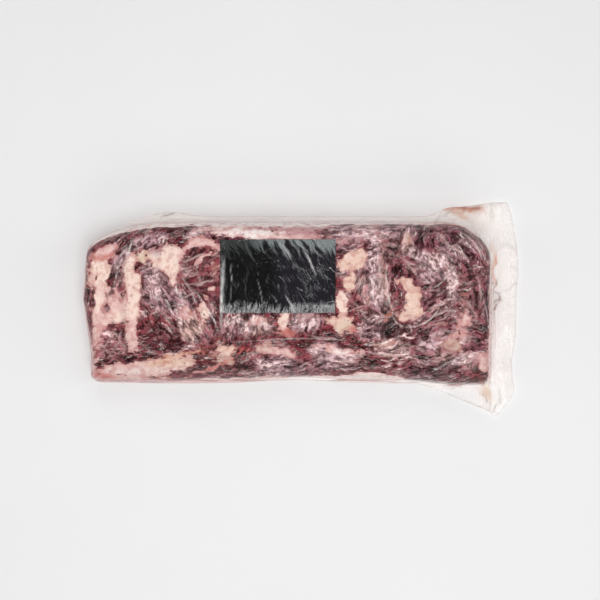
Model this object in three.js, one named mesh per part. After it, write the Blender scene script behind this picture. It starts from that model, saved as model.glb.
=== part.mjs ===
// A raw beef strip loin, boned and whole, vacuum-packed in a clear bag and lying on its fat cap.
//
// The film is drawn tight on to the meat, so the sealed bag and what it holds are one solid. Its upper
// and its lower skin meet in a flat hem that runs round the pack. The hem is narrow along the long
// sides and widens at the right into the bag's sealed tail with its two ears. A label lies on top.
//
// Millimetres. +X runs along the loin towards the sealed tail, +Y across it and +Z up. The origin is
// the middle of the pack's outline, on the surface that it rests on.
import * as THREE from "three";

// ---- Driving dimensions ----

// Foot lines of the loin's four walls, as seen from above.
const loin = { left: -266, right: 234, near: -88, far: 106 };
// Each wall's width in plan from foot to shoulder, and the power of its curve: 2 is a quarter ellipse.
const wall = {
  left: { run: 17, power: 2.3 },
  right: { run: 20, power: 2.3 },
  near: { run: 47, power: 1.65 },
  far: { run: 23, power: 2.5 },
};
// The thick edge lies along the backbone, at the far side, and the thin one along the flank.
const thickness = { flank: 60, backbone: 77, endDrop: 6 };
// The far corners are rounded in plan. The near ones are nearly square.
const corner = {
  farLeft: { length: 112, depth: 46, power: 2 },
  farRight: { length: 62, depth: 58, power: 2 },
  near: { length: 16, depth: 10, power: 2 },
};
// The left end comes to a blunt point at `tip`, and falls back from it towards both sides.
const leftEnd = { tip: 13, nearSlope: 0.15, farSlope: 0.08, most: 10 };
// The near wall stands a little further in at the middle.
const waist = { x: -10, halfLength: 62, depth: 4 };

// The bag: the two films together, the height at which they meet, and how wide the hem is.
const film = { gauge: 2, farLevel: 17, nearLevel: 9, leftLevel: 14, tailLevel: 6 };
const hem = { left: 2, near: 3.5, far: 7.5, pleatAt: -172, pleatLength: 34, pleat: 6 };
const tail = { edge: 265, half: 131.5, farCornerCut: 11, nearCornerCut: 22 };
const tailBends = [
  { y: 55, halfWidth: 34, reach: 3 },
  { y: -67, halfWidth: 22, reach: -4 },
  { y: -104, halfWidth: 13, reach: 4 },
];
// Each ear begins this far along the pack and reaches the tail's full half width.
const ear = { farStart: 146, farLevelOff: 188, farShare: 0.66, nearStart: 140, end: 243 };
const underRun = 17;

// The label's edges, which lie on the pack's own mesh lines.
const label = { left: -96, right: 43, near: -6, far: 83, gap: 0.4, gauge: 0.9 };

// Relief of the boned side.
const groove = { left: -53, middle: -37, right: -64, middleFrom: -95, middleTo: 40, depth: 4.5, width: 7 };
const lobe = { x: 160, y: 57, halfLength: 57, halfWidth: 77, power: 3, depth: 5.5, width: 6 };
const flap = { x: -181, y: 23, halfLength: 35, halfWidth: 66, power: 2.4, step: 3.5, width: 5 };
const ribSeams = [
  { x: -206, lean: 0.05, near: -30, far: 62, height: 3.2, width: 7 },
  { x: 92, lean: -0.12, near: -20, far: 84, height: 2.4, width: 9 },
];
const swells = [
  { length: 148, height: 1.9, heading: 0.35, phase: 0.9 },
  { length: 83, height: 1.3, heading: 1.2, phase: 2.3 },
  { length: 61, height: 1.0, heading: -0.5, phase: 4.1 },
  { length: 44, height: 0.8, heading: 2.1, phase: 1.7 },
];
const filmWaves = [
  { length: 71, height: 1.5, heading: 1.45, phase: 0.4 },
  { length: 37, height: 0.9, heading: 1.75, phase: 2.6 },
  { length: 29, height: 0.5, heading: 0.6, phase: 5.2 },
];

// Mesh lines between one break in the form and the next, along the pack and across it.
const stepsAlong = { hem: 1, leftWall: 5, leftBody: 15, label: 13, rightBody: 16, rightWall: 6, tail: 5 };
const stepsAcross = { hem: 3, nearWall: 5, plateau: 4, label: 8, farWall: 6 };

// ---- Curves ----

const { lerp, clamp, smoothstep } = THREE.MathUtils;

// A wall's height as a share of the whole, at `share` of its run from the foot.
function wallRise(share, power) {
  return (1 - (1 - clamp(share, 0, 1)) ** power) ** (1 / power);
}

// The shares of a wall's run at which its curve turns by equal angles.
function wallShares(steps, power) {
  return Array.from({ length: steps + 1 }, (_, k) => 1 - Math.cos((Math.PI / 2) * (k / steps)) ** (2 / power));
}

function evenShares(steps) {
  return Array.from({ length: steps + 1 }, (_, k) => k / steps);
}

// How far a foot line is drawn in at a rounded corner, `distance` from the corner's end.
function cornerInset(distance, { length, depth, power }) {
  return depth * (1 - wallRise(distance / length, power));
}

function hump(distance, width) {
  return Math.exp(-((distance / width) ** 2));
}

function waves(list, x, y) {
  return list.reduce((sum, { length, height, heading, phase }) => {
    const along = x * Math.cos(heading) + y * Math.sin(heading);
    return sum + height * Math.sin((2 * Math.PI * along) / length + phase);
  }, 0);
}

// ---- The pack's outline in plan ----

// The two long sides, rounded off at the left only. The film goes on along them past the loin's right end.
const nearSide = (x) =>
  loin.near + waist.depth * hump(x - waist.x, waist.halfLength) + cornerInset(x - loin.left, corner.near);
const farSide = (x) => loin.far - cornerInset(x - loin.left, corner.farLeft);

// The foot lines of the loin itself.
const nearFoot = (x) => nearSide(x) + cornerInset(loin.right - x, corner.near);
const farFoot = (x) => farSide(x) - cornerInset(loin.right - x, corner.farRight);

function leftFoot(y) {
  const away = y - leftEnd.tip;
  return loin.left + Math.min(leftEnd.most, away > 0 ? away * leftEnd.farSlope : -away * leftEnd.nearSlope);
}

// The hem's outer edge, which spreads into the ears at the right.
function farEdge(x) {
  const pleat = hem.pleat * hump(x - hem.pleatAt, hem.pleatLength);
  const hemWidth = lerp(hem.left, hem.far, smoothstep(x, loin.left, hem.pleatAt)) + pleat;
  const first = ear.farShare * smoothstep(x, ear.farStart, ear.farLevelOff);
  const last = (1 - ear.farShare) * smoothstep(x, ear.farLevelOff, ear.end);
  const spread = (tail.half - loin.far - hem.far) * (first + last);
  return farSide(x) + hemWidth + spread;
}

function nearEdge(x) {
  const hemWidth = lerp(hem.left, hem.near, smoothstep(x, loin.left, hem.pleatAt));
  const spread = clamp((x - ear.nearStart) / (ear.end - ear.nearStart), 0, 1) ** 1.15;
  return nearSide(x) - hemWidth - (tail.half + loin.near - hem.near) * spread;
}

function tailEdge(y) {
  const cut = (y > 0 ? tail.farCornerCut : tail.nearCornerCut) * Math.abs(y / tail.half) ** 5;
  return tailBends.reduce((x, bend) => x + bend.reach * hump(y - bend.y, bend.halfWidth), tail.edge - cut);
}

// ---- The pack's upper and lower skins ----

// How much of the full thickness stands at a point: 0 at the foot of any wall and 1 inside all four.
function standing(x, y) {
  return (
    wallRise((x - leftFoot(y)) / wall.left.run, wall.left.power) *
    wallRise((loin.right - x) / wall.right.run, wall.right.power) *
    wallRise((y - nearFoot(x)) / wall.near.run, wall.near.power) *
    wallRise((farFoot(x) - y) / wall.far.run, wall.far.power)
  );
}

// Distance outside (above 0) or inside (below 0) a rounded muscle edge, in shares of its half width.
function edgeOf({ x, y, halfLength, halfWidth, power }, px, py) {
  return (Math.abs((px - x) / halfLength) ** power + Math.abs((py - y) / halfWidth) ** power) ** (1 / power) - 1;
}

// The groove between the eye of the loin and the strip of flank meat along its near side.
function grooveRelief(x, y) {
  const middle = smoothstep(x, groove.middleFrom - 60, groove.middleFrom);
  const right = smoothstep(x, groove.middleTo, groove.middleTo + 110);
  const line = lerp(lerp(groove.left, groove.middle, middle), groove.right, right);
  return -groove.depth * hump(y - line, groove.width);
}

// The crease round the big muscle at the right, pulled in by the tight film.
function lobeRelief(x, y) {
  const out = edgeOf(lobe, x, y) * lobe.halfLength;
  const fadeRight = 1 - smoothstep(x, lobe.x, lobe.x + lobe.halfLength);
  return -lobe.depth * hump(out, lobe.width) * fadeRight;
}

// A flap of fat and meat that lies over the left end of the boned side.
function flapRelief(x, y) {
  const out = edgeOf(flap, x, y) * flap.halfLength;
  return flap.step * (1 - smoothstep(out, -flap.width, flap.width));
}

// The white seams left where the rib bones were lifted out.
function ribRelief(x, y) {
  return ribSeams.reduce((sum, seam) => {
    const middle = (seam.near + seam.far) / 2;
    const off = x - seam.x - seam.lean * (y - middle);
    const reach = smoothstep(y, seam.near - 15, seam.near) * (1 - smoothstep(y, seam.far, seam.far + 15));
    return sum + seam.height * hump(off, seam.width) * reach;
  }, 0);
}

function meatTop(x, y) {
  const across = smoothstep(y, loin.near + wall.near.run, loin.far - wall.far.run);
  const fromMiddle = (x - (loin.left + loin.right) / 2) / ((loin.right - loin.left) / 2);
  const level = lerp(thickness.flank, thickness.backbone, across) - thickness.endDrop * fromMiddle ** 2;
  const relief = grooveRelief(x, y) + lobeRelief(x, y) + flapRelief(x, y) + ribRelief(x, y);
  return level + relief + waves(swells, x, y);
}

// The height at which the two films meet outside the meat. It drops to the surface at the tail.
function hemLevel(x, y) {
  const sides = lerp(film.nearLevel, film.farLevel, smoothstep(y, loin.near, loin.far));
  const body = lerp(film.leftLevel, sides, smoothstep(x, loin.left, loin.left + 60));
  const tailward = smoothstep(x, ear.farStart, ear.end);
  const rippling = 0.35 + 0.65 * tailward;
  const level = lerp(body, film.tailLevel, tailward) + rippling * waves(filmWaves, x, y);
  return Math.max(level, film.gauge);
}

const upperSkin = (x, y) => {
  const foot = hemLevel(x, y) + film.gauge / 2;
  return foot + (meatTop(x, y) - foot) * standing(x, y);
};

// The fat cap is flat where it rests, and curls up to the hem round its rim.
const lowerSkin = (x, y) => {
  const inside = Math.min(x - leftFoot(y), loin.right - x, y - nearFoot(x), farFoot(x) - y);
  return (hemLevel(x, y) - film.gauge / 2) * (1 - wallRise(inside / underRun, 2));
};

// ---- The mesh lines ----

// Joins runs of shares into one list of { from, to, share }, each break counted once.
function lines(runs) {
  return runs.flatMap(({ from, to, shares }, k) =>
    shares.slice(k ? 1 : 0).map((share) => ({ from, to, share })),
  );
}

const mirrored = (shares) => shares.map((share) => 1 - share).reverse();

const along = lines([
  { from: "leftEdge", to: "leftFoot", shares: evenShares(stepsAlong.hem) },
  { from: "leftFoot", to: "leftShoulder", shares: wallShares(stepsAlong.leftWall, wall.left.power) },
  { from: "leftShoulder", to: "labelLeft", shares: evenShares(stepsAlong.leftBody) },
  { from: "labelLeft", to: "labelRight", shares: evenShares(stepsAlong.label) },
  { from: "labelRight", to: "rightShoulder", shares: evenShares(stepsAlong.rightBody) },
  { from: "rightShoulder", to: "rightFoot", shares: mirrored(wallShares(stepsAlong.rightWall, wall.right.power)) },
  { from: "rightFoot", to: "tailEdge", shares: evenShares(stepsAlong.tail) },
]);

const across = lines([
  { from: "nearEdge", to: "nearFoot", shares: evenShares(stepsAcross.hem) },
  { from: "nearFoot", to: "nearShoulder", shares: wallShares(stepsAcross.nearWall, wall.near.power) },
  { from: "nearShoulder", to: "labelNear", shares: evenShares(stepsAcross.plateau) },
  { from: "labelNear", to: "farShoulder", shares: evenShares(stepsAcross.label) },
  { from: "farShoulder", to: "farFoot", shares: mirrored(wallShares(stepsAcross.farWall, wall.far.power)) },
  { from: "farFoot", to: "farEdge", shares: evenShares(stepsAcross.hem) },
]);

// Where a line across the pack lies at x. In the tail the lines spread out evenly.
function acrossAt(x, j) {
  const { from, to, share } = across[j];
  const breaks = {
    nearEdge: nearEdge(x),
    nearFoot: nearFoot(x),
    nearShoulder: nearFoot(x) + wall.near.run,
    labelNear: Math.min(label.near, farFoot(x) - wall.far.run - 20),
    farShoulder: farFoot(x) - wall.far.run,
    farFoot: farFoot(x),
    farEdge: farEdge(x),
  };
  const onBody = lerp(breaks[from], breaks[to], share);
  const even = lerp(breaks.nearEdge, breaks.farEdge, j / (across.length - 1));
  return lerp(onBody, even, smoothstep(x, loin.right, tail.edge));
}

// Where a line along the pack lies. The left end and the tail's edge aren't straight, so it depends on y.
function alongAt(i, y) {
  const { from, to, share } = along[i];
  const breaks = {
    leftEdge: leftFoot(y) - hem.left,
    leftFoot: leftFoot(y),
    leftShoulder: leftFoot(y) + wall.left.run,
    labelLeft: label.left,
    labelRight: label.right,
    rightShoulder: loin.right - wall.right.run,
    rightFoot: loin.right,
    tailEdge: tailEdge(y),
  };
  return lerp(breaks[from], breaks[to], share);
}

// The plan of the mesh: points[i][j] is where line i along the pack meets line j across it.
const plan = along.map((_, i) =>
  across.map((_, j) => {
    const straight = clamp(alongAt(i, 0), loin.left, tail.edge);
    const y = acrossAt(straight, j);
    return new THREE.Vector2(alongAt(i, y), y);
  }),
);

// ---- Solids ----

// A closed slab between two grids of points with the same lines, `upper` over `lower`.
function slab(upper, lower) {
  const rows = upper.length;
  const columns = upper[0].length;
  const points = [...upper.flat(), ...lower.flat()];
  const top = (i, j) => i * columns + j;
  const under = (i, j) => rows * columns + top(i, j);
  const faces = [];
  const quad = (a, b, c, d) => faces.push(a, b, c, a, c, d);
  for (let i = 0; i + 1 < rows; i++) {
    for (let j = 0; j + 1 < columns; j++) {
      quad(top(i, j), top(i + 1, j), top(i + 1, j + 1), top(i, j + 1));
      quad(under(i, j), under(i, j + 1), under(i + 1, j + 1), under(i + 1, j));
    }
    quad(under(i, 0), under(i + 1, 0), top(i + 1, 0), top(i, 0));
    quad(top(i, columns - 1), top(i + 1, columns - 1), under(i + 1, columns - 1), under(i, columns - 1));
  }
  for (let j = 0; j + 1 < columns; j++) {
    quad(under(0, j + 1), under(0, j), top(0, j), top(0, j + 1));
    quad(under(rows - 1, j), under(rows - 1, j + 1), top(rows - 1, j + 1), top(rows - 1, j));
  }
  const geometry = new THREE.BufferGeometry().setFromPoints(points);
  geometry.setIndex(faces);
  geometry.computeVertexNormals();
  return geometry;
}

const onSkin = (skin) => plan.map((row) => row.map(({ x, y }) => new THREE.Vector3(x, y, skin(x, y))));
const packTop = onSkin(upperSkin);

function vacuumBag() {
  const material = new THREE.MeshStandardMaterial({ color: 0x7a4a4d, roughness: 0.25, metalness: 0 });
  return new THREE.Mesh(slab(packTop, onSkin(lowerSkin)), material);
}

// The label follows the pack's own facets at a small gap, so it lies on them everywhere.
function packLabel() {
  const firstOf = (list, name) => list.findIndex(({ to, share }) => to === name && share === 1);
  const fromLeft = firstOf(along, "labelLeft");
  const toRight = firstOf(along, "labelRight");
  const fromNear = firstOf(across, "labelNear");
  const toFar = firstOf(across, "farShoulder");
  const lifted = (height) =>
    packTop
      .slice(fromLeft, toRight + 1)
      .map((row) => row.slice(fromNear, toFar + 1).map(({ x, y, z }) => new THREE.Vector3(x, y, z + height)));
  const material = new THREE.MeshStandardMaterial({ color: 0x1d1b1e, roughness: 0.35, metalness: 0 });
  return new THREE.Mesh(slab(lifted(label.gap + label.gauge), lifted(label.gap)), material);
}

const pack = new THREE.Group();
for (const [name, make] of [
  ["vacuum_bag", vacuumBag],
  ["label", packLabel],
]) {
  const mesh = make();
  mesh.name = name;
  pack.add(mesh);
}

export default pack;
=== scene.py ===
import math
import bpy
import numpy as np
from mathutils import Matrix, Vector


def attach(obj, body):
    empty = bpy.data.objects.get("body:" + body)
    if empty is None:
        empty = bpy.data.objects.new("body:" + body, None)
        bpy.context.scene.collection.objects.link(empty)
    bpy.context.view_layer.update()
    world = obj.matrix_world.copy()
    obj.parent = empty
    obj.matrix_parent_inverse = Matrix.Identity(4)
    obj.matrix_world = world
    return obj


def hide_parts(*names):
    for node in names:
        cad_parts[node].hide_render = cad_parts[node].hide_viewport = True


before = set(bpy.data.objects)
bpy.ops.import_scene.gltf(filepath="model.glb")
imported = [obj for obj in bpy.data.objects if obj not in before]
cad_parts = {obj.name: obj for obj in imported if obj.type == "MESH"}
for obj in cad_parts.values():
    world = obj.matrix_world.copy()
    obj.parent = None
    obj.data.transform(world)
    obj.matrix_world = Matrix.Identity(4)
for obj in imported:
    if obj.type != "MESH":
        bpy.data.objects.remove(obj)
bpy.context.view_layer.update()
metresPerMm = 0.001

# The camera looks straight down. One chart unit is what it shows of the floor at one pixel of its picture,
# and every place on the boned side is charted as the camera sees it, from the pack's middle.
camera = {"height": 1857.0, "lens": 90.0, "sensor": 36.0, "pixels": 600, "x": -1.2, "y": 11.1}
chartUnit = camera["sensor"] / camera["lens"] * camera["height"] / camera["pixels"]

# The pack's form, in millimetres: the same sizes as the solids have.
loin = {"left": -266, "right": 234, "near": -88, "far": 106}
wall = {
    "left": {"run": 17, "power": 2.3},
    "right": {"run": 20, "power": 2.3},
    "near": {"run": 47, "power": 1.65},
    "far": {"run": 23, "power": 2.5},
}
thickness = {"flank": 60, "backbone": 77, "endDrop": 6}
corner = {
    "farLeft": {"length": 112, "depth": 46, "power": 2},
    "farRight": {"length": 62, "depth": 58, "power": 2},
    "near": {"length": 16, "depth": 10, "power": 2},
}
leftEnd = {"tip": 13, "nearSlope": 0.15, "farSlope": 0.08, "most": 10}
waist = {"x": -10, "halfLength": 62, "depth": 4}
bulge = {"from": 130, "to": 190, "reach": 5}
film = {"farLevel": 17, "nearLevel": 9, "leftLevel": 14, "tailLevel": 6, "least": 2}
filmEase = {"leftRun": 60, "ripple": 0.35}  # how far the left level reaches, and the least share of ripples
hem = {"left": 2, "near": 3.5, "far": 7.5, "pleatAt": -172, "pleatLength": 34, "pleat": 6}
tail = {"edge": 265, "half": 131.5, "farCornerCut": 11, "nearCornerCut": 22, "cutPower": 5}
tailBends = [(55, 34, 3), (-67, 22, -4), (-104, 13, 4)]  # each bend's middle, half width and reach
ear = {"farStart": 146, "farLevelOff": 188, "farShare": 0.66, "nearStart": 140, "nearPower": 1.15, "end": 243}
underRun = 17
groove = {"left": -53, "middle": -37, "right": -64, "depth": 4.5, "width": 7}
grooveBends = {"leftFrom": -155, "leftTo": -95, "rightFrom": 40, "rightTo": 150}
lobe = {"x": 160, "y": 57, "halfLength": 57, "halfWidth": 77, "power": 3, "depth": 5.5, "width": 6}
flap = {"x": -181, "y": 23, "halfLength": 35, "halfWidth": 66, "power": 2.4, "step": 3.5, "width": 5}
ribSeams = [
    {"x": -206, "lean": 0.05, "near": -30, "far": 62, "height": 3.2, "width": 7},
    {"x": 92, "lean": -0.12, "near": -20, "far": 84, "height": 2.4, "width": 9},
]
ribFade = 15
# Each wave: length, height, heading and phase.
swells = [(148, 1.9, 0.35, 0.9), (83, 1.3, 1.2, 2.3), (61, 1.0, -0.5, 4.1), (44, 0.8, 2.1, 1.7)]
filmWaves = [(71, 1.5, 1.45, 0.4), (37, 0.9, 1.75, 2.6), (29, 0.5, 0.6, 5.2)]


def mix(a, b, share):
    # a + (b - a) * share.
    return a + (b - a) * share


def easeStep(value, low, high):
    # Rises from 0 at low to 1 at high as t * t * (3 - 2 * t).
    t = np.clip((value - low) / (high - low), 0, 1)
    return t * t * (3 - 2 * t)


def hump(distance, width):
    # A bell: e to the power of minus (distance / width) squared.
    return np.exp(-((distance / width) ** 2))


def wallRise(share, power):
    # A superellipse quarter: (1 - (1 - share)^power)^(1 / power).
    return (1 - (1 - np.clip(share, 0, 1)) ** power) ** (1 / power)


def cornerInset(distance, shape):
    # depth * (1 - rise), where rise is the wall curve at distance / length.
    return shape["depth"] * (1 - wallRise(distance / shape["length"], shape["power"]))


def waves(parts, x, y):
    # The sum of height * sin(2 pi * (x cos heading + y sin heading) / length + phase).
    total = 0
    for length, height, heading, phase in parts:
        run = x * math.cos(heading) + y * math.sin(heading)
        total = total + height * np.sin(2 * np.pi * run / length + phase)
    return total


def nearSide(x):
    # near + the waist's bell + the left corner's inset.
    waistBell = waist["depth"] * hump(x - waist["x"], waist["halfLength"])
    return loin["near"] + waistBell + cornerInset(x - loin["left"], corner["near"])


def farSide(x):
    # far - the left corner's inset.
    return loin["far"] - cornerInset(x - loin["left"], corner["farLeft"])


def nearFoot(x):
    # nearSide - the bulge towards the right + the right corner's inset.
    side = nearSide(x) - bulge["reach"] * easeStep(x, bulge["from"], bulge["to"])
    return side + cornerInset(loin["right"] - x, corner["near"])


def farFoot(x):
    # farSide - the right corner's inset.
    return farSide(x) - cornerInset(loin["right"] - x, corner["farRight"])


def leftFoot(y):
    # left + slope * the distance from the tip, up to the most it falls back.
    away = y - leftEnd["tip"]
    fall = np.where(away > 0, away * leftEnd["farSlope"], -away * leftEnd["nearSlope"])
    return loin["left"] + np.minimum(leftEnd["most"], fall)


def farEdge(x):
    # farSide + the hem's width + the far ear's spread, which rises in two steps.
    width = mix(hem["left"], hem["far"], easeStep(x, loin["left"], hem["pleatAt"]))
    width = width + hem["pleat"] * hump(x - hem["pleatAt"], hem["pleatLength"])
    first = ear["farShare"] * easeStep(x, ear["farStart"], ear["farLevelOff"])
    last = (1 - ear["farShare"]) * easeStep(x, ear["farLevelOff"], ear["end"])
    return farSide(x) + width + (tail["half"] - loin["far"] - hem["far"]) * (first + last)


def nearEdge(x):
    # nearSide - the hem's width - the near ear's spread, a power of the way to the ear's end.
    width = mix(hem["left"], hem["near"], easeStep(x, loin["left"], hem["pleatAt"]))
    way = np.clip((x - ear["nearStart"]) / (ear["end"] - ear["nearStart"]), 0, 1)
    return nearSide(x) - width - (tail["half"] + loin["near"] - hem["near"]) * way ** ear["nearPower"]


def tailEdge(y):
    # edge - cut * |y / half|^power + the bends' bells.
    cut = np.where(y > 0, tail["farCornerCut"], tail["nearCornerCut"])
    place = tail["edge"] - cut * np.abs(y / tail["half"]) ** tail["cutPower"]
    for middle, halfWidth, reach in tailBends:
        place = place + reach * hump(y - middle, halfWidth)
    return place


def standing(x, y):
    # The product of the four walls' rises: 0 at a foot line and 1 inside all four.
    inside = {"left": x - leftFoot(y), "right": loin["right"] - x}
    inside.update({"near": y - nearFoot(x), "far": farFoot(x) - y})
    total = 1
    for side, distance in inside.items():
        total = total * wallRise(distance / wall[side]["run"], wall[side]["power"])
    return total


def edgeDistance(shape, x, y):
    # Distance from a superellipse's edge, in millimetres along its half length.
    power = shape["power"]
    reach = np.abs((x - shape["x"]) / shape["halfLength"]) ** power
    reach = (reach + np.abs((y - shape["y"]) / shape["halfWidth"]) ** power) ** (1 / power)
    return (reach - 1) * shape["halfLength"]


def grooveLine(x):
    # The groove's y: left, then middle, then right, eased from one to the next.
    middle = easeStep(x, grooveBends["leftFrom"], grooveBends["leftTo"])
    right = easeStep(x, grooveBends["rightFrom"], grooveBends["rightTo"])
    return mix(mix(groove["left"], groove["middle"], middle), groove["right"], right)


def reliefOf(x, y):
    # The groove and the lobe's crease go down; the flap and the rib seams stand up.
    total = -groove["depth"] * hump(y - grooveLine(x), groove["width"])
    fade = 1 - easeStep(x, lobe["x"], lobe["x"] + lobe["halfLength"])
    total = total - lobe["depth"] * hump(edgeDistance(lobe, x, y), lobe["width"]) * fade
    total = total + flap["step"] * (1 - easeStep(edgeDistance(flap, x, y), -flap["width"], flap["width"]))
    for seam in ribSeams:
        off = x - seam["x"] - seam["lean"] * (y - (seam["near"] + seam["far"]) / 2)
        reach = easeStep(y, seam["near"] - ribFade, seam["near"])
        reach = reach * (1 - easeStep(y, seam["far"], seam["far"] + ribFade))
        total = total + seam["height"] * hump(off, seam["width"]) * reach
    return total


def meatTop(x, y):
    # flank..backbone across the loin - endDrop * (share from the middle)^2 + relief + swells.
    across = easeStep(y, loin["near"] + wall["near"]["run"], loin["far"] - wall["far"]["run"])
    fromMiddle = (x - (loin["left"] + loin["right"]) / 2) / ((loin["right"] - loin["left"]) / 2)
    level = mix(thickness["flank"], thickness["backbone"], across) - thickness["endDrop"] * fromMiddle**2
    return level + reliefOf(x, y) + waves(swells, x, y)


def hemLevel(x, y):
    # The height at which the two films meet, rippling most in the tail.
    sides = mix(film["nearLevel"], film["farLevel"], easeStep(y, loin["near"], loin["far"]))
    body = mix(film["leftLevel"], sides, easeStep(x, loin["left"], loin["left"] + filmEase["leftRun"]))
    tailward = easeStep(x, ear["farStart"], ear["end"])
    ripples = mix(filmEase["ripple"], 1, tailward) * waves(filmWaves, x, y)
    return np.maximum(mix(body, film["tailLevel"], tailward) + ripples, film["least"])


def upperOf(x, y, lift, gap):
    # The hem's level + lift, then up to the meat's top + gap by how much stands.
    level = hemLevel(x, y) + lift
    return level + (meatTop(x, y) + gap - level) * standing(x, y)


def underCurl(x, y):
    # 1 at the foot lines, falling to 0 as a quarter circle over underRun.
    alongX = np.minimum(x - leftFoot(y), loin["right"] - x)
    alongY = np.minimum(y - nearFoot(x), farFoot(x) - y)
    return 1 - wallRise(np.minimum(alongX, alongY) / underRun, 2)


def cellValue(ix, iy, iz, seed):
    # A fixed share for each cell: the fraction of 43758.5453 * sin(a weighted sum of its indices).
    wave = np.sin(ix * 12.9898 + iy * 78.233 + iz * 37.719 + seed * 4.137) * 43758.5453
    return wave - np.floor(wave)


def smoothNoise(x, y, z, seed):
    # The eight cell values round a point, mixed by t * t * (3 - 2 * t) along each axis.
    fx, fy, fz = np.floor(x), np.floor(y), np.floor(z)
    tx, ty, tz = [easeStep(a - f, 0, 1) for a, f in ((x, fx), (y, fy), (z, fz))]
    total = 0
    for dx in (0, 1):
        for dy in (0, 1):
            for dz in (0, 1):
                weight = (tx if dx else 1 - tx) * (ty if dy else 1 - ty) * (tz if dz else 1 - tz)
                total = total + weight * cellValue(fx + dx, fy + dy, fz + dz, seed)
    return total


def noise(place, size, seed, octaves=3):
    # Octaves of smoothNoise from -1 to 1, each half as large and half as strong as the one before. The
    # seed tells one pattern from another.
    x, y, z = place
    total, weight, most = 0, 1.0, 0
    for octave in range(octaves):
        scale = 2**octave / size
        total = total + weight * (2 * smoothNoise(x * scale, y * scale, z * scale, seed + octave) - 1)
        most += weight
        weight *= 0.5
    return total / most


def drawnNoise(x, y, size, seed):
    # Two octaves of noise over flat places that are already drawn out one way or the other.
    return noise((x, y, 0 * x), size, seed, 2)


def ridges(place, size, seed, width):
    # Thin lines where noise crosses zero: 1 - |noise| / width, not below 0.
    return np.clip(1 - np.abs(noise(place, size, seed, 2)) / width, 0, 1)


def evenShares(steps):
    # 0 to 1 in equal steps.
    return np.linspace(0, 1, steps + 1)


def wallShares(steps, side):
    # 1 - cos(angle)^(2 / power) at equal angles from 0 to 90 degrees.
    return 1 - np.cos(np.linspace(0, np.pi / 2, steps + 1)) ** (2 / wall[side]["power"])


def runsBetween(breaks, shares):
    # Each run of mesh lines: the breaks before and after it and its shares of the way between them. Every
    # run but the first leaves out its first line, which the run before it ends on.
    return [(breaks[k], breaks[k + 1], part[min(k, 1) :]) for k, part in enumerate(shares)]


def packPlan(steps, whole):
    # The x and y of each mesh line crossing, each a share of the way between two breaks, which are where a
    # wall, the hem or the tail ends. Where whole isn't set, only the loin inside its foot lines is planned.
    xBreaks = [
        leftFoot,
        lambda y: leftFoot(y) + wall["left"]["run"],
        lambda y: loin["right"] - wall["right"]["run"] + 0 * y,
        lambda y: loin["right"] + 0 * y,
    ]
    yBreaks = [
        nearFoot,
        lambda x: nearFoot(x) + wall["near"]["run"],
        lambda x: farFoot(x) - wall["far"]["run"],
        farFoot,
    ]
    rightShares = 1 - wallShares(steps["rightWall"], "right")[::-1]
    farShares = 1 - wallShares(steps["farWall"], "far")[::-1]
    xShares = [wallShares(steps["leftWall"], "left"), evenShares(steps["body"]), rightShares]
    yShares = [wallShares(steps["nearWall"], "near"), evenShares(steps["plateau"]), farShares]
    if whole:
        xBreaks = [lambda y: leftFoot(y) - hem["left"]] + xBreaks + [tailEdge]
        yBreaks = [nearEdge] + yBreaks + [farEdge]
        xShares = [evenShares(steps["leftHem"])] + xShares + [evenShares(steps["tail"])]
        yShares = [evenShares(steps["hem"])] + yShares + [evenShares(steps["hem"])]
    along = runsBetween(xBreaks, xShares)
    across = runsBetween(yBreaks, yShares)
    # The lines across are placed at straight x first, and then each x follows its curved breaks.
    middle = np.zeros(1)
    straight = np.concatenate([mix(low(middle), high(middle), part) for low, high, part in along])
    straight = np.clip(straight, loin["left"], tail["edge"])[:, None]
    y = [mix(low(straight), high(straight), part[None, :]) for low, high, part in across]
    y = np.concatenate(y, axis=1)
    if whole:
        even = mix(y[:, :1], y[:, -1:], evenShares(y.shape[1] - 1)[None, :])
        y = mix(y, even, easeStep(straight, loin["right"], tail["edge"]))
    rows, start = [], 0
    for low, high, part in along:
        band = y[start : start + len(part)]
        rows.append(mix(low(band), high(band), part[:, None]))
        start += len(part)
    return np.concatenate(rows), y


def gridFaces(rows, columns, first=0, flip=False):
    # Quads of a grid whose points are numbered row by row from first, wound upwards or, flipped, down.
    index = first + np.arange(rows * columns).reshape(rows, columns)
    a, b, c, d = index[:-1, :-1], index[1:, :-1], index[1:, 1:], index[:-1, 1:]
    corners = (a, d, c, b) if flip else (a, b, c, d)
    return np.stack([part.ravel() for part in corners], axis=1)


def rimFaces(rows, columns, upper, lower):
    # Quads that join the borders of two grids of the same lines, wound outwards.
    index = np.arange(rows * columns).reshape(rows, columns)
    border = np.concatenate([index[:-1, 0], index[-1, :-1], index[:0:-1, -1], index[0, :0:-1]])
    following = np.roll(border, -1)
    return np.stack([lower + border, lower + following, upper + following, upper + border], axis=1)


def closedShell(x, y, upper, lower):
    # Points and faces of a closed solid: two grids over the same x and y, joined round their borders.
    points = np.concatenate([np.stack([x, y, z], -1).reshape(-1, 3) for z in (upper, lower)])
    sides = [gridFaces(*x.shape), gridFaces(*x.shape, x.size, True), rimFaces(*x.shape, 0, x.size)]
    return points, np.concatenate(sides)


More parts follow.
